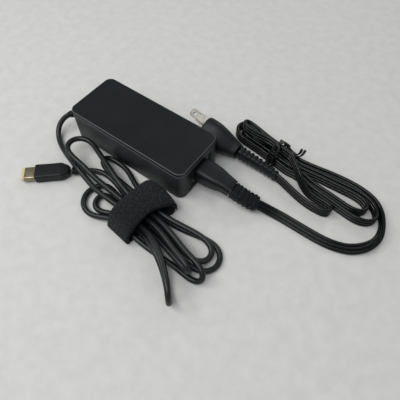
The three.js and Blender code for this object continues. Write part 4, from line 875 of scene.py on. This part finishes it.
def addReliefs():
    length = dcLead["reliefLength"]
    rows = [*relief["caseCollar"], *ribRows(4, 3.2, length - 1.2, low=0.84)]
    rows += [(length + s, swell) for s, swell in relief["caseEnd"]]
    case = addRelief("case_relief", dcRoute[0], rows, caseReliefSection, carriedAcross, "root",
                     ("dc_strain_relief",))
    rows = [(dcReliefStart, 0.8), *ribRows(3, dcReliefStart + 0.3, lengthsOf(dcRoute[2])[-1], low=0.84)]
    connector = addRelief("connector_relief", dcRoute[2], rows, connectorReliefSection, levelAcross, "root",
                          ("dc_connector_relief",))
    rows = [(s, 1) for s in np.arange(2.6, gripReliefEnd, relief["gripStep"])] + [(gripReliefEnd, 0.94)]
    grip = addRelief("grip_relief", mainsRoute[0], rows, gripReliefSection, levelAcross, "mains_lead",
                     ("mains_connector_relief",))
    start, stop = plugReliefStart, lengthsOf(mainsRoute[2])[-1]
    rows = [(start, 0.74), (start + 0.5, 0.8), *ribRows(9, start + 0.8, stop - 0.6, low=0.82)]
    plug = addRelief("plug_relief_sleeve", mainsRoute[2], rows, plugReliefSection, levelAcross, "mains_lead",
                     ("plug_relief",))
    return case, connector, grip, plug


caseRelief, connectorRelief, gripRelief, plugRelief = addReliefs()

print("stage: case")

case = {
    "length": 108,
    "width": 46,
    "height": 29.5,
    "corner": 6,
    "cornerSteps": 14,
    "lid": 3.4,
    "edge": 0.9,
    "footEdge": 1.4,
    "gap": 0.3,  # of the seam
    "wall": 2.2,
    # heights from each side of the seam with the inset there, and how far each level is worn and painted
    # lighter as a highlight
    "tubRim": [(-0.9, 0), (-0.55, 0.1), (0, 0.5)],
    "tubWearAndHighlight": ([0.4] * 3, [0.2, 0.5, 0.6]),
    "lidRim": [(0, 0.5), (0.25, 0.1), (0.5, 0)],
    "lidWearAndHighlight": [0.2, 0.7, 0.1, 0, 0, 0.4, 1, 0.5, 0, 0, 0, 0],
    "holeZ": 14.75,
    "holeReach": (49, 58),  # from inside an end wall to outside it
    "socket": (21, 14.2, 0.8),
    "leadHole": (3.9, -13.6),  # radius and Y
    "labelBed": (63.2, 31.2, 2.6),
    "bedDepth": 0.6,
    "label": (62, 30, 2),
    "labelLevels": [(0.36, 0), (0.1, 0), (0.05, 0.08)],
}


def caseRings(levels, length, width, corner):
    rings = []
    for z, inset in levels:
        outline = roundedOutline(length - 2 * inset, width - 2 * inset, max(corner - inset, 0.3),
                                 case["cornerSteps"])
        rings.append(np.column_stack([outline, np.full(len(outline), z)]))
    return rings


def roundOver(radius, top, steps, up):
    # levels that round an edge over: height and inset
    levels = []
    for step in range(steps + 1):
        angle = math.pi / 2 * step / steps
        drop = radius * (1 - math.sin(angle))
        levels.append((top - drop if up else drop, radius * (1 - math.cos(angle))))
    return levels if up else levels[::-1]


def addCase():
    whole = (case["length"], case["width"], case["corner"])
    wall, height, edge = case["wall"], case["height"], case["edge"]
    inner = (whole[0] - 2 * wall, whole[1] - 2 * wall, whole[2] - wall + 0.6)
    seam = height - case["lid"]
    levels = roundOver(case["footEdge"], top=0, steps=5, up=False)
    levels += [(seam + rise, inset) for rise, inset in case["tubRim"]]
    footWearAndHighlight, rimWearAndHighlight = case["tubWearAndHighlight"]
    tub = loft("case_tub", caseRings(levels, *whole), "casePlastic", "root", ("lower_case",),
               edge=footWearAndHighlight + [0] * (len(levels) - 6) + rimWearAndHighlight)
    radius, y = case["leadHole"]
    socket = roundedOutline(*case["socket"], steps=10) + (0, case["holeZ"])
    leadHole = circle(radius, sides=24) + (y, case["holeZ"])
    carve(tub,
          cutter(caseRings([(wall, 0), (seam + 1, 0)], *inner)),
          cutter(caseRings([(-1, 0), (case["bedDepth"], 0)], *case["labelBed"])),
          cutter([ringAt(x, socket) for x in case["holeReach"]]),
          cutter([ringAt(-x, leadHole) for x in case["holeReach"]]))

    under = seam + case["gap"]
    levels = [(under + rise, inset) for rise, inset in case["lidRim"]]
    levels += roundOver(edge, height, steps=6, up=True) + [(height, edge + 0.5), (height, edge + 2)]
    lid = loft("case_lid", caseRings(levels, *whole), "casePlastic", "root", ("upper_case",),
               edge=case["lidWearAndHighlight"])
    carve(lid, cutter(caseRings([(under - 1, 0), (height - wall, 0)], *inner)))

    rings = caseRings(case["labelLevels"], *case["label"])
    loft("blank_label", rings, "labelFilm", "root", ("rating_label",))


addCase()

print("stage: strap")

strap = {
    "width": 20.5,
    "thick": 1.7,
    "leftTop": 20.2,
    "rightTop": 17.3,
    "bulge": 1.6,  # the crown's rise between its rims
    "backBulge": 2.4,  # the back side's
    "frontBottom": -19,
    "backBottom": 17.4,
    "frontSide": -21.4,
    "backSide": 20,
    "skew": 5.5,  # how far the loose end's corner stands out at the back of the right rim
    "steps": 12,  # between two points of its outline
    "rim": 0.5,
    # the loose end over the band: its faces, and the outline's points that it runs from and to
    "flap": {"narrower": 0.6, "outer": -1.15, "inner": -0.06, "rim": 0.4, "from": 32, "to": 150, "lean": 0.5},
}


def crownAt(along):
    half = strap["width"] / 2
    level = np.interp(along, [-half, half], [strap["leftTop"], strap["rightTop"]])
    return level + strap["bulge"] * (1 - (along / half) ** 2)


def strapOutline(along, inset):
    # the strap's outer face at one place along the hank: across it and up
    bottom = 0.1 + inset
    top = crownAt(along) - inset
    front = strap["frontSide"] + inset
    back = strap["backSide"] + strap["backBulge"] * (1 - (2 * along / strap["width"]) ** 2) - inset
    corners = [
        (strap["frontBottom"] + 2, bottom), (strap["backBottom"] - 2, bottom),
        (strap["backBottom"] + 1.4 - inset, bottom + 1.6), (back, 5.6), (back - 0.3, 9.6),
        (back - 3, top - 3.2), (back - 8.5, top - 0.7), (0, top), (front + 11, top - 1.2),
        (front + 5, top - 4.6), (front + 0.9, 7.8), (front, 4.6),
        (strap["frontBottom"] - 1.2 + inset, bottom + 1.5),
    ]
    curve = closedCatmull([(q, z, 0) for q, z in corners], strap["steps"])
    return np.stack([curve[:, 0], np.maximum(curve[:, 1], bottom)], 1)


def strapPlace(along, q, z):
    axis, across = levelAxes(dcHank["turn"])
    back = np.clip(q / strap["backSide"], 0, 1)
    along = along + strap["skew"] * back * back * (3 - 2 * back) * np.maximum(along, 0) / (strap["width"] / 2)
    return np.array([*dcHank["at"], 0]) + np.outer(along, axis) + np.outer(q, across) + np.outer(z, upright)


def bandSection(width, outer, inner, rim, count=9):
    # along the strap and inset from its outer face: outside first, then round the rim and back inside
    half, middle = width / 2, (outer + inner) / 2
    outside = [(x, outer) for x in np.linspace(-half + rim, half - rim, count)]
    inside = [(x, inner) for x in np.linspace(half - rim, -half + rim, count)]
    right = [(half - rim * 0.3, outer + (middle - outer) * 0.3), (half, middle),
             (half - rim * 0.3, inner - (middle - outer) * 0.3)]
    left = [(-x, y) for x, y in right[::-1]]
    return outside + right + inside + left


def addBand(name, section, keep, innerFinish, lean, replaced=()):
    # a band round the strands; keep is the part of the outline that it covers, or None for all of it
    part = slice(*keep) if keep else slice(None)
    columns = np.stack([strapOutline(along, inset)[part] for along, inset in section], 1)
    rows, width = columns.shape[:2]
    alongs = np.array([along for along, _ in section])
    points = np.concatenate([strapPlace(alongs + lean * (1 - k / rows), *column.T)
                             for k, column in enumerate(columns)])
    lengths = list(lengthsOf(columns[:, 0]))
    lengths.append(2 * lengths[-1] - lengths[-2])
    faces = facingOut(points, ringFaces(rows, width, keep is None))
    inside = section[0][1] + 0.75 * (section[width // 2][1] - section[0][1])
    uvs, picks = [], []
    for face in faces:
        seam = max(face) // width == rows - 1 and min(face) // width == 0
        for corner in face:
            row, column = divmod(corner, width)
            uvs.append((section[column][0], lengths[rows if seam and row == 0 else row]))
        picks.append(int(np.mean([section[corner % width][1] for corner in face]) > inside))
    return addPiece(name, points, faces, ["webbing", innerFinish], "root", replaced, uvs=uvs, sharp=0,
                    picks=picks)


def addStrap():
    flap = strap["flap"]
    section = bandSection(strap["width"], 0, strap["thick"], strap["rim"])
    band = addBand("strap_band", section, None, "lining", 0, ("hook_and_loop_strap",))
    section = bandSection(strap["width"] - flap["narrower"], flap["outer"], flap["inner"], flap["rim"])
    return band, addBand("strap_flap", section, (flap["from"], flap["to"]), "webbing", flap["lean"])


strapPieces = addStrap()

print("stage: connectors")

dcPlug = {
    "tip": (-55.9, -78),
    "turn": 42.5,
    "z": 3.95,
    "shell": (11, 11, 4.5),
    "shellWall": 0.45,
    "shellBack": 14.5,  # its hidden end, inside the body
    "corner": 1.2,
    "collar": 2.2,  # length of the insulator's rim in front of the shell
    "hole": (6.4, 1.5, 0.7),
    "body": (12.6, 7.7),
    # place along the body, width and height as parts of the whole, and corner
    "rows": [(0, 0.93, 0.9, 1), (0.2, 0.97, 0.95, 1.2), (0.7, 1, 1, 1.35), (8, 1, 1, 1.4), (15, 1, 1, 1.4),
             (19.4, 1, 1, 1.4), (20.3, 0.97, 0.98, 1.5), (22.4, 0.82, 0.9, 1.7), (24.6, 0.64, 0.78, 1.7),
             (25.5, 0.52, 0.62, 1.5)],
}


def connectorPlace(points):
    return placed(points, dcPlug["tip"], dcPlug["turn"], dcPlug["z"])


def addDcConnector():
    shellLength, shellWidth, shellHeight = dcPlug["shell"]
    wall, collar, corner = dcPlug["shellWall"], dcPlug["collar"], dcPlug["corner"]
    front = collar + 0.3
    outside = [(dcPlug["shellBack"], 0), (front + 0.25, 0), (front + 0.05, 0.06), (front, 0.2)]
    inside = [(front, wall - 0.15), (front + 0.1, wall), (dcPlug["shellBack"], wall)]
    rings = slabRings(shellWidth, shellHeight, corner, 8, outside + inside)
    shell = loft("tip_shell", connectorPlace(rings), "shellMetal", "root", ("dc_connector_shell",),
                 closed=True)

    inset = wall + 0.3
    places = [(11, inset), (collar, inset), (collar, 0.25), (collar - 0.1, 0.06), (collar - 0.3, 0), (0.4, 0),
              (0.1, 0.12), (0, 0.4)]
    rings = slabRings(shellWidth, shellHeight, corner, 8, places)
    insulator = loft("tip_insulator", connectorPlace(rings), "tipPlastic", "root",
                     ("dc_connector_insulator",))
    carve(insulator, cutter(connectorPlace(slabRings(*dcPlug["hole"], 6, [(-1, 0), (8, 0)]))))

    width, height = dcPlug["body"]
    rings = [ringAt(x + shellLength - 1, roundedOutline(width * w, height * h, bend, 8))
             for x, w, h, bend in catmull(dcPlug["rows"], each=4)]
    body = loft("connector_body", connectorPlace(rings), "softMoulding", "root", ("dc_connector_body",),
                sharp=50)
    places = [(shellLength - 3, 0), (shellLength + 4, 0)]
    rings = slabRings(shellWidth + 0.5, shellHeight + 0.5, corner + 0.1, 8, places)
    carve(body, cutter(connectorPlace(rings)))
    return shell, insulator, body


dcConnector = addDcConnector()

grip = {
    "axisZ": 14.75,
    # X, half the width, half the height and lean
    "rows": [(54.4, 7.9, 6.5, 0), (54.7, 8.3, 6.9, 0), (55.4, 8.5, 7.1, 0), (60, 8.6, 7.2, 0),
             (65, 8.45, 7.05, 0.02), (70, 7.75, 6.45, 0.06), (75, 6.75, 5.6, 0.14), (80, 6.2, 5, 0.24),
             (82.4, 6.1, 4.8, 0.27)],
    "droops": (72, 0.0115),  # from this X on, by this part of the square of what lies beyond
    "nose": (15, 10.8, 3.1),
    "noseFrom": 43.7,
    "pins": ((4.3, -1.8), (-4.3, -1.8), (0, 2.2)),
    "pinHole": 2.45,
}


def addGrip():
    axisZ, start = grip["axisZ"], grip["noseFrom"]
    bend, amount = grip["droops"]
    rings = []
    for x, w, h, lean in catmull(grip["rows"], each=4):
        y, z = softOutline(w, h, sides=60, squareness=0.5).T
        rings.append(np.column_stack([x + lean * z, y, axisZ - amount * max(x - bend, 0) ** 2 + z]))
    body = loft("mains_grip", rings, "softMoulding", "mains_lead", ("mains_connector_body",), sharp=50)
    rings = slabRings(*grip["nose"], 8, [(55, 0), (start + 0.5, 0), (start + 0.15, 0.12), (start, 0.4)])
    nose = loft("mains_nose", rings + (0, 0, axisZ), "softMoulding", "mains_lead", sharp=40)
    holes = [circle(grip["pinHole"], sides=20) + (y, axisZ + z) for y, z in grip["pins"]]
    carve(nose, *(cutter([ringAt(x, hole) for x in (start - 1, 54.2)]) for hole in holes))
    return body, nose


gripPieces = addGrip()

plug = {
    "face": (34, 35.85),
    "turn": -6.7,
    "roll": 30,  # about its own axis, so that it lies on one lower edge
    "axisZ": 12.1,
    "bladeSpacing": 12.7,
    "blade": (17.2, 6.35, 1.5),
    "bladeOff": 4.8,
    "bladeTaper": 1.4,
    "bladeHole": 1.55,
    "holeFromTip": 4.4,
    "bladeRound": 0.18,
    "pinOff": -6.9,
    "pinRadius": 2.4,
    "pinLength": 20,
    "root": 8.6,  # how far blades and pin reach inside the body
    "slotDepth": 8.9,
    # place along the body, half the width, half the height, shift to the side and up
    "rows": [(0, 9.2, 10, 0, 0), (0.3, 9.7, 10.5, 0, 0), (0.9, 10.2, 10.9, 0, 0), (3, 10.4, 11.1, 0, 0),
             (10, 10.3, 11, 0.2, 0), (16, 9.6, 10.1, 0.7, -1), (22, 8.3, 8.6, 1.4, -2.2),
             (27.4, 6.8, 7, 2.3, -3.1), (31.4, 5.7, 6, 2.9, -3.3)],
}


def plugPlace(points):
    return placed(points, plug["face"], plug["turn"], plug["axisZ"])


def rolledPlace(points):
    # turned about the plug's own axis, then put in its place
    roll = math.radians(plug["roll"])
    points = np.asarray(points, float)
    y, z = points[..., 1], points[..., 2]
    return plugPlace(np.stack([points[..., 0], y * math.cos(roll) - z * math.sin(roll),
                               y * math.sin(roll) + z * math.cos(roll)], -1))


def addBlade(name, sign):
    length, width, thick = plug["blade"]
    half, taper, off = width / 2, plug["bladeTaper"], plug["bladeOff"]
    z = sign * plug["bladeSpacing"] / 2
    corners = [(plug["root"], -half), (plug["root"], half), (taper - length, half), (-length, half - taper),
               (-length, taper - half), (taper - length, -half)]
    rings = [[(x, y + off, z + side * thick / 2) for x, y in corners] for side in (-1, 1)]
    blade = loft(name, rolledPlace(rings), "nickel", "mains_lead", ("plug_" + name,), sharp=40)
    # the edge faces take a darker, golden copy of the nickel: painted shade
    blade.data.materials.append(materials["shadedGoldenNickel"])
    flat = unit(np.cross(*np.diff(rolledPlace([(0, 0, 0), (1, 0, 0), (1, 1, 0)]), axis=0)))
    for face in blade.data.polygons:
        face.material_index = int(abs(np.dot(face.normal, flat)) < 0.7)
    hole = circle(plug["bladeHole"], sides=24) + (plug["holeFromTip"] - length, off)
    rings = [np.column_stack([hole, np.full(len(hole), z + side * thick)]) for side in (-1, 1)]
    carve(blade, cutter(rolledPlace(rings)))
    roundEdges(blade, plug["bladeRound"])
    return blade


def addPlug():
    roll = math.radians(plug["roll"])
    turned = np.array([[math.cos(roll), math.sin(roll)], [-math.sin(roll), math.cos(roll)]])
    rings = [ringAt(x, softOutline(w, h, sides=60, squareness=0.6) @ turned + (side, rise))
             for x, w, h, side, rise in catmull(plug["rows"], each=4)]
    body = loft("plug_shell", plugPlace(rings), "softMoulding", "mains_lead", ("plug_body",), sharp=50)
    width, thick = plug["blade"][1:]
    depth, pinOff, radius = plug["slotDepth"], plug["pinOff"], plug["pinRadius"]
    slot = slabRings(width + 0.5, thick + 0.5, 0.3, 4, [(-1, 0), (depth, 0)])
    cutters = [cutter(rolledPlace(slot + (0, plug["bladeOff"], sign * plug["bladeSpacing"] / 2)))
               for sign in (-1, 1)]
    pinHole = circle(radius + 0.25, sides=24) + (pinOff, 0)
    carve(body, *cutters, cutter(rolledPlace([ringAt(x, pinHole) for x in (-1, depth)])))

    # the pin's rounded end: radius and place along it
    profile = [(0.02, 0), (radius * 0.3, 0.08), (radius * 0.58, 0.45), (radius * 0.82, 1.2),
               (radius * 0.95, 2.2),
               (radius, 3.4), (radius, plug["pinLength"] + plug["root"])]
    rings = [ringAt(x - plug["pinLength"], circle(r, sides=28) + (pinOff, 0)) for r, x in profile]
    return (body, addBlade("blade_upper", 1), addBlade("blade_lower", -1),
            loft("earth_pin", rolledPlace(rings), "nickel", "mains_lead", ("plug_earth_pin",), sharp=40))


plugPieces = addPlug()

tie = {
    "strip": (2, 0.75),  # width and thickness of the coated strip
    "loop": [(-9.1, 0.55), (8.9, 0.55), (9.5, 1.2), (9.6, 9.4), (9, 10.8), (3.6, 17.8), (1, 19.9), (-4, 19.9),
             (-5, 18.6), (-9.8, 10.6), (-9.9, 1.2)],
    "middle": (0, -0.4, 10),
    "spread": 2.7,  # how far the two turns stand apart at the sides, before they cross on top
    "crossing": 2.33,  # where they cross, as an angle round the loop
    "lift": 0.32,
    "tailStrip": (2.1, 0.95),
    "tailTwist": 5.5,
    "tails": [[(0.6, 8, 12.6), (2.6, 6.9, 13), (6, 5.6, 12.4), (10, 5.2, 11.8), (12.6, 5.6, 12.2),
               (13.6, 7, 13.8), (13.4, 9.2, 16.6)],
              [(-0.6, 8.2, 12.2), (2.6, 6.2, 12), (7, 4.2, 11.6), (11.6, 4.2, 11.4), (14.6, 5.2, 12),
               (15.9, 7, 13.8), (16, 9.8, 17)]],
}


def tieTurned(points):
    axis, across = levelAxes(mainsHank["turn"])
    points = np.asarray(points, float)
    return points[:, :1] * axis + points[:, 1:2] * across + points[:, 2:] * upright


def tiePlace(points):
    return np.array([*mainsHank["at"], 0]) + tieTurned(points)


def addTie():
    # two turns of the strip that cross over the hank, and its two twisted ends
    curve = closedCatmull([(0, q, z) for q, z in tie["loop"]], each=8)
    angles = np.arange(len(curve)) / len(curve) * math.tau - tie["crossing"]
    width, thick = tie["strip"]
    section = roundedOutline(width, thick, thick / 2 - 0.02, 4)
    pieces = []
    for number, turn in ((1, 1), (2, -1)):
        path = curve.copy()
        path[:, 0] += turn * tie["spread"] * np.cos(angles)
        out = path - tie["middle"]
        out[:, 0] = 0
        out = unit(out)
        path += out * (tie["lift"] * (1 + turn * np.sin(angles)) * (path[:, 2] > 2))[:, None]
        line = tiePlace(path)
        tangents = unit(np.roll(line, -1, 0) - np.roll(line, 1, 0))
        across = unit(np.cross(tangents, tieTurned(out)))
        pieces.append(addSwept(f"tie_turn_{number}", line, section, tangents, across, "tieSheath",
                               "mains_lead", ("twist_tie",) if number == 1 else (), closed=True))
    section = roundedOutline(*tie["tailStrip"], 0.45, 4)
    for number, tail in enumerate(tie["tails"], 1):
        line = evenly(catmull(tiePlace(tail), each=10), step=0.5)
        tangents = tangentsOf(line)
        across = spun(tangents, carriedAcross(tangents), np.linspace(0, tie["tailTwist"], len(line)))
        pieces.append(addSwept(f"tie_tail_{number}", line, section, tangents, across, "tieSheath",
                               "mains_lead"))
    return pieces


tiePieces = addTie()

print("stage: inner pieces")

keptNodes = {
    "fishPaper": ["insulating_sheet"],
    "boardMask": ["circuit_board"],
    "ferrite": ["transformer_core", "output_choke"],
    "tape": ["transformer_winding"],
    "sleeve": ["bulk_capacitor", "output_capacitor_1", "output_capacitor_2"],
    "boxBlue": ["x_capacitor"],
    "ceramic": ["y_capacitor"],
    "copperWire": ["common_mode_choke"],
    "package": ["bridge_rectifier", "optocoupler", "controller_chip", "switching_transistor",
                "output_rectifier"],
    "aluminium": ["primary_heatsink", "secondary_heatsink", "heat_spreader"],
    "socketPlastic": ["inlet_socket"],
    "nickel": ["fuse", "inlet_pin_line", "inlet_pin_neutral", "inlet_pin_earth"],
    "brass": ["dc_connector_contact", "mains_contact_line", "mains_contact_neutral", "mains_contact_earth"],
}
for finish, nodes in keptNodes.items():
    for node in nodes:
        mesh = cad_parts[node].data
        mesh.materials.clear()
        mesh.materials.append(materials[finish])

print("stage: table and light")

room = {
    "tableSize": 3000,
    "tableColor": (221, 221, 218),
    "tableOther": (214, 214, 211),
    "tableGrain": {"Grain Scale": 420, "Mottle Scale": 120, "Depth": 0.5},
    "tableFinish": {"Roughness": 0.75, "Specular IOR Level": 0.25},
    "worldColor": (248, 250, 252),
    "worldStrength": 0.33,
    "lamps": [  # place, aim, size, power and colour
        ((-471, -272, 689), (40, 0, 0), 320, 1.6, (255, 252, 247)),
        ((-20, 687, 579), (40, 0, 0), 420, 0.8, (255, 254, 250)),
        ((-41, -458, 997), (20, -60, 0), 800, 5.3, (251, 252, 255)),
    ],
}


def addTable():
    half = room["tableSize"] / 2 * mm
    mesh = bpy.data.meshes.new("table")
    corners = [(-half, -half, 0), (half, -half, 0), (half, half, 0), (-half, half, 0)]
    mesh.from_pydata(corners, [], [(0, 1, 2, 3)])
    addObject("table", mesh)
    material, tree, shader = newMaterial("tableTop")
    grain = useGroup(tree, mouldGrain, room["tableGrain"])
    cloud = stretch(tree, grain["Mottle"], low=0.34, high=0.66)
    color = mixColor(tree, cloud, linear(room["tableColor"]), linear(room["tableOther"]))
    feed(tree, shader, {"Base Color": color, "Normal": grain["Normal"], **room["tableFinish"]})
    mesh.materials.append(material)


def addLight():
    world = bpy.data.worlds.new("room")
    world.use_nodes = True
    feed(world.node_tree, world.node_tree.nodes["Background"],
         {"Color": linear(room["worldColor"]), "Strength": room["worldStrength"]})
    bpy.context.scene.world = world
    for number, (place, aim, size, power, color) in enumerate(room["lamps"], 1):
        data = bpy.data.lights.new(f"softbox{number}", "AREA")
        data.shape = "DISK"
        data.size = size * mm
        data.energy = power
        data.color = linear(color)[:3]
        addObject(f"softbox{number}", data).matrix_world = lookFrom(place, aim)


addTable()
addLight()
bpy.context.scene.view_settings.view_transform = "Standard"

print("stage: finish")
